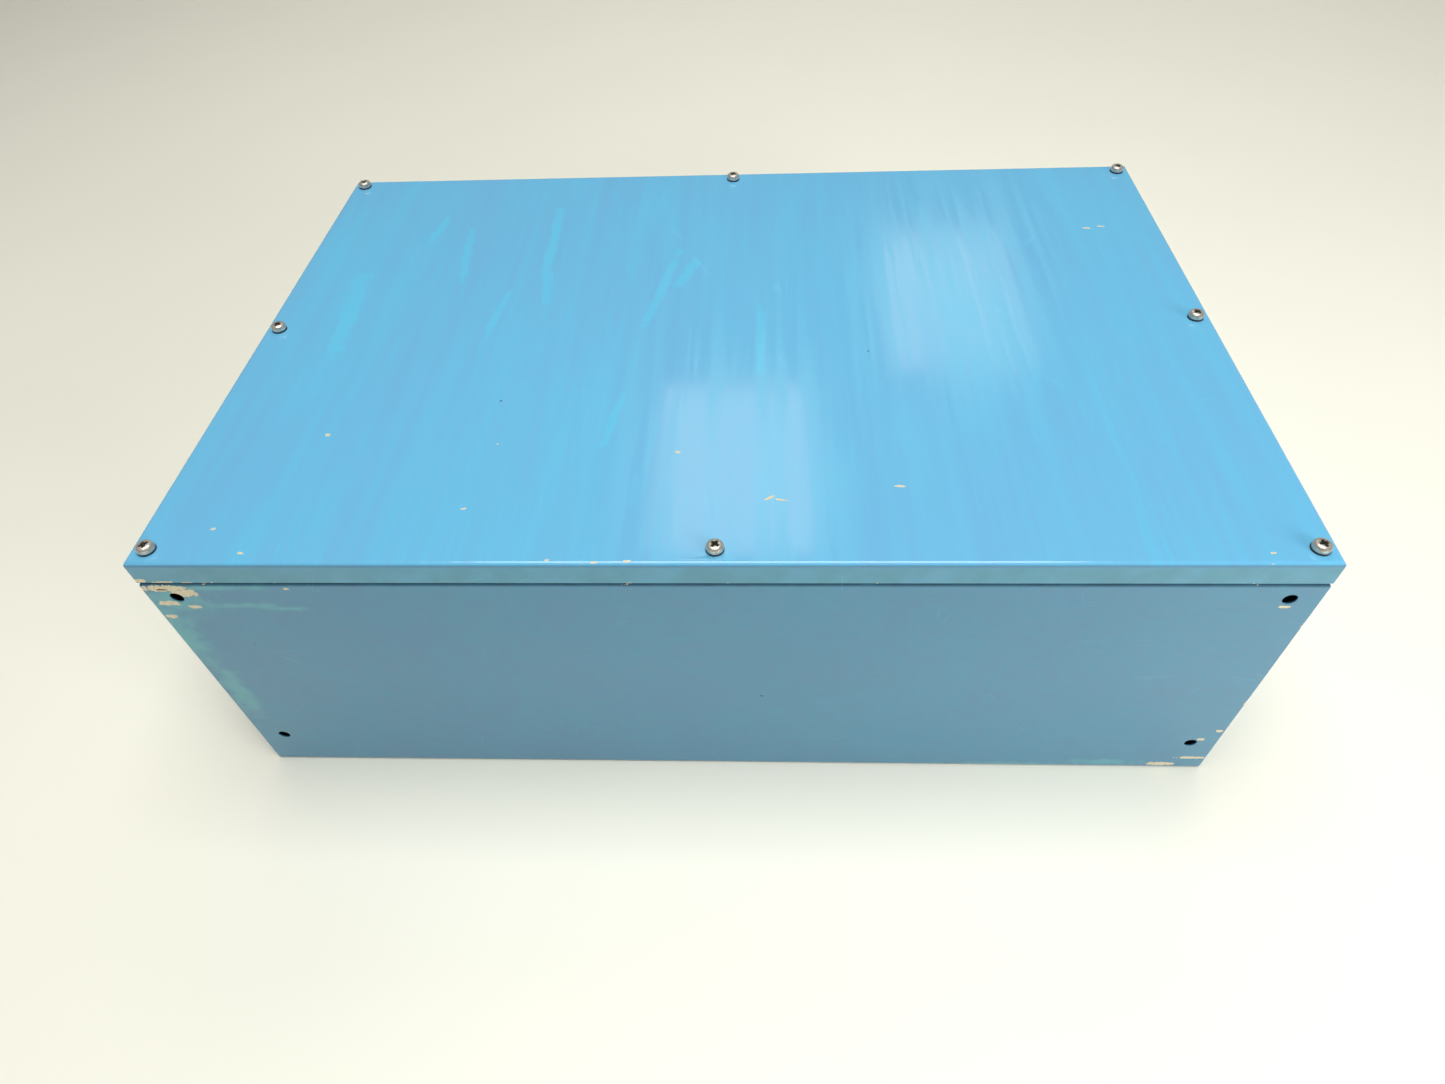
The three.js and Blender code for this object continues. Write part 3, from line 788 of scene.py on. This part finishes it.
# Each list is (distance in from the left or right end wall, height, half width, half height), in millimetres.
LEFT_WALL_CHIPS = [
    (13.0, 180.6, 12.5, 2.3),
    (21.5, 177.0, 7.5, 3.0),
    (9.5, 168.2, 5.6, 1.9),
    (22.0, 165.0, 3.6, 1.4),
    (5.0, 156.6, 3.4, 1.5),
    (77.7, 180.3, 1.6, 0.8),
]
RIGHT_WALL_CHIPS = [
    (16.0, 166.9, 3.6, 0.9),
    (11.2, 35.4, 2.3, 1.3),
    (9.0, 12.6, 9.0, 1.3),
    (3.5, 45.5, 2.2, 1.4),
    (26.0, 4.6, 8.0, 1.9),
]
LEFT_WALL_SMEARS = [
    (2.0, 138.0, 17.0, 44.0),
    (12.0, 170.0, 26.0, 16.0),
    (48.0, 166.0, 30.0, 3.2),
    (72.0, 163.5, 14.0, 2.0),
    (30.0, 181.0, 60.0, 2.6),
    (9.0, 84.0, 10.0, 40.0),
]
RIGHT_WALL_SMEARS = [(62.0, 6.0, 30.0, 5.0), (120.0, 3.0, 60.0, 2.5)]
RUST_SLIT = (11.0, 179.6, 3.6, 0.8)
SKIRT_CHIPS = [
    (3.0, 187.0, 3.2, 1.3),
    (14.5, 185.6, 5.8, 0.8),
    (27.5, 185.4, 2.6, 0.5),
]
# (distance from the cover's middle along X and Y, half length, half width, turn in degrees), in millimetres.
COVER_CHIPS = [
    (-133.0, -162.0, 1.6, 0.6, 10),
    (-224.6, -103.2, 1.6, 1.3, 0),
    (-262.0, -175.9, 1.3, 0.8, 20),
    (-241.0, -192.5, 1.8, 0.9, 0),
    (-23.0, -119.3, 1.3, 1.0, 0),
    (27.0, -154.8, 3.0, 0.9, 30),
    (33.0, -156.2, 3.4, 0.6, -12),
    (95.1, -146.5, 2.6, 0.7, -5),
    (249.5, 108.7, 2.8, 0.8, -8),
    (259.8, 110.6, 2.6, 0.8, -8),
    (-83.1, -197.4, 1.2, 0.6, 0),
    (-60.0, -198.6, 2.6, 0.5, 0),
    (-43.0, -197.9, 1.8, 0.6, 0),
    (268.0, -193.0, 1.6, 0.6, 5),
]
COVER_STROKES = [
    (-127.0, 105.0, 62.0, 4.2, 92),
    (-122.0, 45.0, 34.0, 3.4, 96),
    (-150.0, 12.0, 34.0, 3.0, 84),
    (-44.0, 40.0, 56.0, 4.0, 79),
    (-27.0, 62.0, 22.0, 4.5, 70),
    (-186.0, 86.0, 40.0, 3.8, 96),
    (-215.0, 120.0, 22.0, 3.4, 80),
    (-62.0, -92.0, 30.0, 2.8, 82),
    (22.0, -20.0, 40.0, 3.2, 90),
    (-250.0, 20.0, 60.0, 7.0, 95),
]


def wall_marks(side, marks):
    """Marks on the front wall, each set in from the end wall on that side (-1 left, 1 right)."""
    made = []
    for mark in marks:
        inset, height, half_x, half_z = (value * MM for value in mark)
        made.append(((side * (HALF_WIDTH - inset), FRONT_WALL, height), (half_x, MARK_DEPTH, half_z), 0.0))
    return made


def cover_marks(marks):
    """Marks on the cover's top."""
    made = []
    for *sizes, degrees in marks:
        x, y, half_long, half_wide = (value * MM for value in sizes)
        made.append(((x, y, COVER_HIGH.z), (half_long, half_wide, MARK_DEPTH), -math.radians(degrees)))
    return made


# ---- sheet metal ----


def settings(context):
    """The four property groups."""
    scene = context.scene
    return scene.enclosure_sheet, scene.enclosure_paint, scene.enclosure_hardware, scene.enclosure_stage


def screw_spots():
    """The middle of each screw's washer, by place."""
    return {name: centre_of(f"washer_{name}") for name in SCREW_PLACES}


def side_holes(sheet):
    """The drilled holes' axes, as (x, z)."""
    x = HALF_WIDTH - sheet.hole_inset
    heights = (sheet.lower_hole_rise, COVER_HIGH.z - sheet.upper_hole_drop)
    return [(side * x, z) for z in heights for side in (-1, 1)]


def body_section(sheet, ledge):
    """The body's sheet in section, from the middle of the back panel's outside round to its inside."""
    bend, shoulder = sheet.bend_radius, sheet.shoulder_radius
    inner, step = bend - SHEET, shoulder - SHEET
    top, rim, mouth = BODY_HIGH.z, sheet.rim_inset, sheet.mouth_inset
    lip = sheet.edge_break
    points = arc((bend, bend), bend, 270, 180, 6)
    points += run((0, bend), (0, ledge - shoulder), 8)[1:]
    points += arc((shoulder, ledge - shoulder), shoulder, 180, 90, 6)[1:]
    points += [(rim, ledge)]
    points += arc((rim + bend, top - bend), bend, 180, 90, 6)
    points += [(mouth - lip, top), (mouth, top - lip)]
    points += [(mouth, top - SHEET + lip), (mouth - lip, top - SHEET)]
    points += arc((rim + SHEET + inner, top - SHEET - inner), inner, 90, 180, 4)
    points += [(rim + SHEET, ledge - SHEET)]
    points += arc((SHEET + step, ledge - SHEET - step), step, 90, 180, 4)
    points += run((SHEET, ledge - SHEET - step), (SHEET, SHEET + inner), 8)[1:]
    points += arc((SHEET + inner, SHEET + inner), inner, 180, 270, 4)[1:]
    return points


def bow_walls(mesh, bow, top):
    """Lets the long walls sink a little between their folded edges."""
    for vert in mesh.verts:
        depth_in = HALF_DEPTH - abs(vert.co.y)
        if depth_in > 2 * SHEET or not 0 < vert.co.z < top:
            continue
        along = 1 - (vert.co.x / HALF_WIDTH) ** 2
        upright = math.sin(math.pi * min(1.0, vert.co.z / top)) ** 0.5
        vert.co.y -= math.copysign(bow * along * upright, vert.co.y)


class ENCLOSURE_OT_body(bpy.types.Operator):
    """Builds the folded and welded body with its drilled holes"""

    bl_idname = "enclosure.body"
    bl_label = "Body"

    def execute(self, context):
        sheet, paint, hardware, _ = settings(context)
        ledge = COVER_LOW.z - sheet.skirt_gap
        mesh = folded_sheet(body_section(sheet, ledge), HALF_WIDTH, HALF_DEPTH, sheet.weld_radius)
        bow_walls(mesh, sheet.wall_bow, ledge)
        body = make_object("painted_body", mesh)
        reach, radius, flare = 6 * SHEET, sheet.hole_radius, sheet.edge_break
        profile = [(0, -reach), (radius, -reach), (radius, -flare), (radius + flare, reach), (0, reach)]
        across = Matrix.Rotation(math.pi / 2, 3, "X")
        face = FRONT_WALL + sheet.wall_bow * 0.05
        cutters = [
            moved(turned(profile, hardware.sides), (x, face, z), across) for x, z in side_holes(sheet)
        ]
        spots = screw_spots().values()
        cutters += round_cutters(
            spots, sheet.bush_hole_radius, 3 * SHEET, SHEET, BODY_HIGH.z, hardware.sides
        )
        drill(body, cutters)
        even_normals(body)
        material = paint_material(
            "Body paint",
            paint,
            (BODY_LOW, (BODY_HIGH.x, BODY_HIGH.y, ledge)),
            chips=wall_marks(-1, LEFT_WALL_CHIPS) + wall_marks(1, RIGHT_WALL_CHIPS),
            rust=wall_marks(-1, [RUST_SLIT]),
            smears=wall_marks(-1, LEFT_WALL_SMEARS) + wall_marks(1, RIGHT_WALL_SMEARS),
            streaks=0.12,
            painted_shade=paint.painted_shade,
            # Painted shade on the shoulder under the cover's skirt.
            shoulder_shade_above=ledge - 2.6 * MM,
        )
        settle(body, BODY, "blue_paint", material, "body_shell")
        return {"FINISHED"}


def cover_section(sheet):
    """The cover's sheet in section, from the middle of its top round to its underside."""
    bend = sheet.bend_radius
    inner = bend - SHEET
    top, edge, lip = COVER_HIGH.z, COVER_LOW.z, sheet.edge_break
    points = arc((bend, top - bend), bend, 90, 180, 8)
    points += run((0, top - bend), (0, edge + lip), 3)[1:]
    points += [(lip, edge), (SHEET - lip, edge), (SHEET, edge + lip)]
    points += arc((SHEET + inner, top - SHEET - inner), inner, 180, 90, 4)
    return points


def wave_cover(mesh, height):
    """Soft waves in the cover's broad panel, none at its folded edges."""
    for vert in mesh.verts:
        inset = min(HALF_WIDTH - abs(vert.co.x), HALF_DEPTH - abs(vert.co.y))
        if inset < CALM_EDGE:
            continue
        hold = min(1.0, (inset - CALM_EDGE) / CALM_FADE)
        place = Vector((vert.co.x * 7, vert.co.y * 7, 0.35))
        vert.co.z += hold * height * (noise.noise(place) - 0.4)


def weld_spatter():
    """A lump of weld left at the foot of the right front seam."""
    mesh = bmesh.new()
    bmesh.ops.create_icosphere(mesh, subdivisions=3, radius=1.1 * MM)
    for vert in mesh.verts:
        vert.co *= 1 + 0.35 * noise.noise(vert.co / MM * 0.9)
        vert.co.z *= 1.3
    inset = 1.5 * MM
    corner = (HALF_WIDTH - inset, FRONT_WALL + inset, COVER_LOW.z + 3.2 * MM)
    return make_object("weld_spatter", moved(mesh, corner))


class ENCLOSURE_OT_cover(bpy.types.Operator):
    """Builds the shallow pan cover"""

    bl_idname = "enclosure.cover"
    bl_label = "Cover"

    def execute(self, context):
        sheet, paint, hardware, _ = settings(context)
        mesh = folded_sheet(cover_section(sheet), HALF_WIDTH, HALF_DEPTH, sheet.weld_radius)
        wave_cover(mesh, sheet.cover_wave)
        cover = make_object("painted_cover", mesh)
        reach = 3 * SHEET
        spots = screw_spots().values()
        drill(cover, round_cutters(spots, sheet.clearance_radius, reach, reach, COVER_HIGH.z, hardware.sides))
        even_normals(cover)
        material = paint_material(
            "Cover paint",
            paint,
            (COVER_LOW, COVER_HIGH),
            chips=cover_marks(COVER_CHIPS) + wall_marks(-1, SKIRT_CHIPS),
            strokes=cover_marks(COVER_STROKES),
            streaks=paint.streaks,
            skirt_below=COVER_HIGH.z - sheet.bend_radius,
        )
        settle(cover, COVER, "blue_paint", material, "cover")
        settle(weld_spatter(), COVER, "blue_paint", material)
        return {"FINISHED"}


class ENCLOSURE_OT_gasket(bpy.types.Operator):
    """Builds the sealing strip under the cover"""

    bl_idname = "enclosure.gasket"
    bl_label = "Gasket"

    def execute(self, context):
        sheet, _, hardware, _ = settings(context)
        left, right = GASKET_EDGE, sheet.gasket_width - GASKET_EDGE
        low, high = GASKET_LOW.z + GASKET_EDGE, GASKET_HIGH.z - GASKET_EDGE
        corners = ((left, low), (left, high), (right, high), (right, low))
        section = []
        for corner, start in zip(corners, (270, 180, 90, 0)):
            section += arc(corner, GASKET_EDGE, start, start - 90, 4)
        mesh = folded_sheet(section, GASKET_HIGH.x, GASKET_HIGH.y, sheet.gasket_width, caps=False)
        gasket = make_object("sealing_strip", mesh)
        settle(gasket, COVER, "gasket_rubber", rubber_material("Gasket rubber", hardware.rubber), "gasket")
        return {"FINISHED"}


# ---- screws and studs ----


def thread_sink(pitch, depth, start, end):
    """The cut of a thread: how far the surface sinks at a turn and a height, easing out at both ends."""

    def sink(turn, height):
        phase = (height / pitch - turn / (2 * math.pi)) % 1.0
        ends = min(1.0, max(0.0, min(height - start, end - height) / pitch + 0.35))
        return depth * ends * (1 - abs(2 * phase - 1))

    return sink


def threaded_rod(radius, pitch, bottom, top, sides):
    """A closed threaded rod with chamfered ends."""
    nose = 0.6 * pitch
    reach = top - bottom - 2 * nose
    steps = max(1, round(reach / pitch * STEPS_PER_PITCH))
    profile = [(0, bottom), (radius - nose, bottom)]
    profile += [(radius, bottom + nose + reach * i / steps) for i in range(steps + 1)]
    profile += [(radius - nose, top), (0, top)]
    sink = thread_sink(pitch, nose, bottom, top)
    return turned(profile, sides, lambda turn, z, r: -sink(turn, z) if r == radius else 0)


def bored_ring(outer, radius, pitch, bore, ends, sides, shape=lambda turn, z, r: 0):
    """A closed ring with a bore that has only the mouths of its thread.

    Outer runs from the bottom edge to the top edge and takes the shape. Bore and ends are pairs of heights.
    """
    sink = thread_sink(pitch, 0.45 * pitch, *ends)
    profile = outer + [(radius, z) for z in bore]
    return turned(profile, sides, lambda turn, z, r: sink(turn, z) if r == radius else shape(turn, z, r))


def barrel(radius, bottom, top, sides):
    """A solid cylinder with a chamfer at both ends."""
    profile = [(0, bottom), (radius - SOFT_EDGE, bottom), (radius, bottom + SOFT_EDGE)]
    profile += [(radius, top - SOFT_EDGE), (radius - SOFT_EDGE, top), (0, top)]
    return turned(profile, sides)


def cross_outline(arm, half, inner):
    """The twelve corners of a cross recess."""
    quarter = [(arm, -half), (arm, half), (inner, inner)]
    return [tuple(Matrix.Rotation(turn * math.pi / 2, 2) @ Vector(p)) for turn in range(4) for p in quarter]


def screw_mesh(hardware, head_radius, head_height, shank_length):
    """A pan head with a tapered cross recess on a threaded shank, its head's underside at zero height."""
    rim, crown, shank = hardware.head_rim, hardware.crown_radius, hardware.screw_radius
    profile = [(0, -0.2 * MM), (shank, -0.2 * MM), (shank, 0)]
    profile += arc((head_radius - SOFT_EDGE, SOFT_EDGE), SOFT_EDGE, -90, 0, 4)
    rise, run_in, crown_steps = head_height - rim, head_radius - crown, 12
    for i in range(crown_steps + 1):
        turn = math.pi / 2 * i / crown_steps
        profile.append((crown + run_in * math.cos(turn), rim + rise * math.sin(turn)))
    profile.append((0, head_height))
    head = make_object("screw_head", turned(profile, HEAD_SIDES))
    mouth = cross_outline(hardware.recess_span / 2 + 0.45 * MM, 0.78 * MM, 1.15 * MM)
    foot = cross_outline(1.0 * MM, 0.45 * MM, 0.6 * MM)
    heights = (head_height - hardware.recess_depth, head_height + 0.3 * MM)
    drill(head, [prism((foot, mouth), heights)])
    mesh = bmesh.new()
    mesh.from_mesh(head.data)
    bpy.data.objects.remove(head)
    rod = threaded_rod(shank, hardware.screw_pitch, -shank_length, -THREAD_PLAY, SCREW_SIDES)
    return joined(mesh, rod)


def hexagon_nut(radius, pitch, across, height):
    """A chamfered hexagon nut, standing on zero height."""
    corner = across / math.cos(math.pi / 6)
    bevel, edge, mouth, chamfered, near_bore = 0.4 * MM, 0.12 * MM, 0.3 * MM, 0.9 * MM, 0.5 * MM

    def flats(turn, z, r):
        if r <= radius + near_bore:
            return 0
        wedge = (turn + math.pi / 6) % (math.pi / 3) - math.pi / 6
        chamfer = max(0.0, chamfered - min(z, height - z)) * 1.6
        return min(across / math.cos(wedge), corner - chamfer) - r

    outer = [(radius + bevel, 0), (across - bevel, 0), (across, edge)]
    outer += [(across, height * i / 12) for i in range(1, 12)]
    outer += [(across, height - edge), (across - bevel, height), (radius + bevel, height)]
    bore = (height - mouth, mouth)
    return bored_ring(outer, radius, pitch, bore, (0, height), NUT_SIDES, flats)


def plain_washer(inner, outer, thick, sides):
    """A flat washer with broken edges, standing on zero height."""
    soft = min(0.25 * MM, thick / 4)
    profile = [(inner, soft), (inner + soft, 0), (outer - soft, 0), (outer, soft)]
    profile += [(outer, thick - soft), (outer - soft, thick), (inner + soft, thick), (inner, thick - soft)]
    return turned(profile, sides)


def stud_set(owner, zinc, nodes, names, stud, radius, pitch, nut_turn, sides):
    """A stud with its washer and its nut; nodes and names are (stud, washer, nut) in the frame and here."""
    spot = centre_of(nodes[0])
    low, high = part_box(nodes[1])
    ring = plain_washer(radius + WASHER_PLAY, (high.x - low.x) / 2, high.z - low.z, sides)
    washer = moved(ring, (0, 0, low.z))
    low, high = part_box(nodes[2])
    across = min(high.x - low.x, high.y - low.y) / 2
    nut = hexagon_nut(radius + THREAD_PLAY, pitch, across, high.z - low.z)
    meshes = (stud, washer, moved(nut, (0, 0, low.z)))
    for node, name, mesh, degrees in zip(nodes, names, meshes, (0, 0, nut_turn)):
        piece = place_turned(make_object(name, mesh), spot.x, spot.y, degrees=degrees)
        settle(piece, owner, "zinc_fastener", zinc, node)


class ENCLOSURE_OT_cover_screws(bpy.types.Operator):
    """Builds the cover screws and their washers"""

    bl_idname = "enclosure.cover_screws"
    bl_label = "Cover screws"

    def execute(self, context):
        _, _, hardware, _ = settings(context)
        low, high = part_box(f"screw_{SCREW_PLACES[0]}")
        washer_low, washer_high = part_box(f"washer_{SCREW_PLACES[0]}")
        head_radius, head_height = (high.x - low.x) / 2, high.z - washer_high.z
        recess_above = head_height - 0.1 * MM
        steel = metal_material("Screw steel", hardware.steel, 0.30, 0.55, 0.7, recess_above)
        rubber = rubber_material("Washer rubber", hardware.rubber)
        shank_length = washer_high.z - low.z
        screw = make_object("cover_screw", screw_mesh(hardware, head_radius, head_height, shank_length))
        inner, outer = hardware.screw_radius + WASHER_PLAY, (washer_high.x - washer_low.x) / 2 - SOFT_EDGE
        thick = washer_high.z - washer_low.z
        ring = [(inner, 0), (outer, 0)] + arc((outer, SOFT_EDGE), SOFT_EDGE, -90, 0, 4)[1:]
        ring += arc((outer, thick - SOFT_EDGE), SOFT_EDGE, 0, 90, 4) + [(inner, thick)]
        washer = make_object("cover_washer", turned(ring, hardware.sides))
        for name, spot in screw_spots().items():
            for source, node, height, slot, material in (
                (screw, f"screw_{name}", washer_high.z, "screw_steel", steel),
                (washer, f"washer_{name}", washer_low.z, "washer_rubber", rubber),
            ):
                piece = linked(f"{source.name}_{name}", source.data)
                place_turned(piece, spot.x, spot.y, height, SCREW_TURNS[name])
                settle(piece, node, slot, material, node)
        for source in (screw, washer):
            bpy.data.objects.remove(source)
        return {"FINISHED"}


class ENCLOSURE_OT_bushes(bpy.types.Operator):
    """Builds the threaded bushes pressed into the rim flange"""

    bl_idname = "enclosure.bushes"
    bl_label = "Bushes"

    def execute(self, context):
        _, _, hardware, _ = settings(context)
        zinc = metal_material("Bush zinc", hardware.zinc, 0.32)
        bore = hardware.screw_radius + THREAD_PLAY
        low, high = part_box(f"bush_{SCREW_PLACES[0]}")
        collar, soft = (high.x - low.x) / 2, 0.25 * MM
        neck, flange, height = collar - 0.7 * MM, BODY_HIGH.z - low.z, high.z - low.z
        outer = [(neck - soft, 0), (neck, soft), (neck, flange), (collar - soft, flange)]
        outer += [(collar, flange + soft), (collar, height - soft), (collar - soft, height)]
        outer += [(bore + soft, height)]
        mouth = height - soft
        mesh = bored_ring(outer, bore, hardware.screw_pitch, (mouth, 0), (0, mouth), SCREW_SIDES)
        source = make_object("bush_source", mesh)
        for name, spot in screw_spots().items():
            piece = linked(f"threaded_bush_{name}", source.data)
            place_turned(piece, spot.x, spot.y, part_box(f"bush_{name}")[0].z)
            settle(piece, BODY, "zinc_fastener", zinc, f"bush_{name}")
        bpy.data.objects.remove(source)
        return {"FINISHED"}


class ENCLOSURE_OT_mounting_plate(bpy.types.Operator):
    """Builds the inner mounting plate with its weld studs, washers and nuts"""

    bl_idname = "enclosure.mounting_plate"
    bl_label = "Mounting plate"

    def execute(self, context):
        _, _, hardware, _ = settings(context)
        low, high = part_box("mounting_plate")
        radius, pitch, sides = hardware.plate_stud_radius, hardware.plate_stud_pitch, hardware.sides
        section = [(SOFT_EDGE, low.z), (0, low.z + SOFT_EDGE), (0, high.z - SOFT_EDGE), (SOFT_EDGE, high.z)]
        plate = make_object("inner_plate", folded_sheet(section, high.x, high.y, 2.5 * MM))
        reach = high.z - low.z + 2 * MM
        spots = [centre_of(f"plate_nut_{name}") for name in CORNER_PLACES]
        drill(plate, round_cutters(spots, radius + PLATE_PLAY, reach, reach, high.z, sides))
        even_normals(plate)
        coated = galvanised_material("Galvanised plate", hardware.galvanised)
        settle(plate, BODY, "galvanised_plate", coated, "mounting_plate")
        zinc = metal_material("Fastener zinc", hardware.zinc, 0.30)
        for turns, name in enumerate(CORNER_PLACES, 1):
            stud_low, stud_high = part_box(f"plate_stud_{name}")
            foot = barrel((stud_high.x - stud_low.x) / 2, stud_low.z, low.z, sides)
            stud = joined(foot, threaded_rod(radius, pitch, low.z, stud_high.z, STUD_SIDES))
            nodes = (f"plate_stud_{name}", f"plate_washer_{name}", f"plate_nut_{name}")
            names = (f"weld_stud_{name}", f"stud_washer_{name}", f"hex_nut_{name}")
            stud_set(BODY, zinc, nodes, names, stud, radius, pitch, NUT_TURN * turns, sides)
        return {"FINISHED"}


class ENCLOSURE_OT_earth_points(bpy.types.Operator):
    """Builds the earth studs on the body and the cover, each with its washer and nut"""

    bl_idname = "enclosure.earth_points"
    bl_label = "Earth points"

    def execute(self, context):
        _, _, hardware, _ = settings(context)
        zinc = metal_material("Earth zinc", hardware.zinc, 0.30)
        radius, pitch = hardware.earth_stud_radius, hardware.earth_stud_pitch
        for owner in (BODY, COVER):
            low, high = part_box(f"{owner}_earth_stud")
            stud = threaded_rod(radius, pitch, low.z, high.z, STUD_SIDES)
            nodes = [f"{owner}_earth_{part}" for part in ("stud", "washer", "nut")]
            names = [f"{owner}_earth_{part}" for part in ("rod", "ring", "hexagon")]
            stud_set(owner, zinc, nodes, names, stud, radius, pitch, EARTH_NUT_TURN, hardware.sides)
        return {"FINISHED"}


# ---- stage ----


def area_light(name, place, size, power, tint, aim=None, glossy=True):
    """A rectangular soft light, facing down unless it's aimed at a point."""
    data = bpy.data.lights.new(name, "AREA")
    data.shape, data.size, data.size_y, data.energy, data.color = "RECTANGLE", *size, power, tint
    lamp = linked(name, data)
    lamp.location = place
    if aim is not None:
        lamp.rotation_euler = (Vector(aim) - Vector(place)).to_track_quat("-Z", "Y").to_euler()
    lamp.visible_glossy = glossy


class ENCLOSURE_OT_stage(bpy.types.Operator):
    """Sets the camera, the pale floor and the soft lights"""

    bl_idname = "enclosure.stage"
    bl_label = "Stage"

    def execute(self, context):
        stage = settings(context)[3]
        scene = context.scene
        data = bpy.data.cameras.new("Camera")
        data.lens, data.sensor_width = stage.lens, SENSOR_WIDTH
        camera = linked("Camera", data)
        camera.location, camera.rotation_euler = stage.camera_place, stage.camera_turn
        scene.camera = camera

        mesh = bmesh.new()
        bmesh.ops.create_grid(mesh, x_segments=4, y_segments=4, size=FLOOR_HALF)
        floor = make_object("floor", moved(mesh, (0, 0, CAD_LOW.z - FLOOR_GAP)))
        floor.data.materials.append(floor_material("Pale floor", stage.floor))

        white, soft, warm, yellow = (1, 1, 1), (1.0, 0.995, 0.975), (1.0, 0.995, 0.96), (1.0, 0.96, 0.74)
        area_light("overhead", (0.03, -0.3, CEILING), (1.8, 1.75), stage.key_power, soft)
        area_light("backlight", (0.3, 2.6, 2.6), (3.0, 2.4), 26.0, warm, glossy=False)
        area_light("panel_far", (0.91, 3.37, CEILING), (0.66, 1.15), 3.4, yellow)
        area_light("panel_near", (-0.10, 2.2, CEILING), (0.64, 1.0), 3.6, yellow)
        area_light("side_fill", (1.1, -1.1, 0.55), (0.8, 0.7), 13.5, white, (0.25, -0.2, 0.1), False)

        world = bpy.data.worlds.new("Room")
        world.use_nodes = True
        background = world.node_tree.nodes["Background"]
        background.inputs["Color"].default_value = (1.0, 0.99, 0.96, 1.0)
        background.inputs["Strength"].default_value = stage.world_strength
        scene.world = world
        scene.view_settings.view_transform = "Standard"
        return {"FINISHED"}


OPERATORS = (
    ENCLOSURE_OT_body,
    ENCLOSURE_OT_cover,
    ENCLOSURE_OT_gasket,
    ENCLOSURE_OT_bushes,
    ENCLOSURE_OT_cover_screws,
    ENCLOSURE_OT_mounting_plate,
    ENCLOSURE_OT_earth_points,
    ENCLOSURE_OT_stage,
)
PROPERTY_GROUPS = {
    "enclosure_sheet": EnclosureSheetSettings,
    "enclosure_paint": EnclosurePaintSettings,
    "enclosure_hardware": EnclosureHardwareSettings,
    "enclosure_stage": EnclosureStageSettings,
}


class ENCLOSURE_PT_panel(bpy.types.Panel):
    """Lists the pieces of the enclosure"""

    bl_idname = "ENCLOSURE_PT_panel"
    bl_label = "Enclosure"
    bl_space_type = "VIEW_3D"
    bl_region_type = "UI"
    bl_category = "Enclosure"

    def draw(self, context):
        for operator in OPERATORS:
            self.layout.operator(operator.bl_idname)


def register():
    for group in PROPERTY_GROUPS.values():
        bpy.utils.register_class(group)
    for name, group in PROPERTY_GROUPS.items():
        setattr(bpy.types.Scene, name, PointerProperty(type=group))
    for cls in (*OPERATORS, ENCLOSURE_PT_panel):
        bpy.utils.register_class(cls)


def unregister():
    for cls in (ENCLOSURE_PT_panel, *reversed(OPERATORS)):
        bpy.utils.unregister_class(cls)
    for name, group in PROPERTY_GROUPS.items():
        delattr(bpy.types.Scene, name)
        bpy.utils.unregister_class(group)


def main():
    register()
    for operator in OPERATORS:
        family, action = operator.bl_idname.split(".")
        getattr(getattr(bpy.ops, family), action)()


if __name__ == "__main__":
    main()
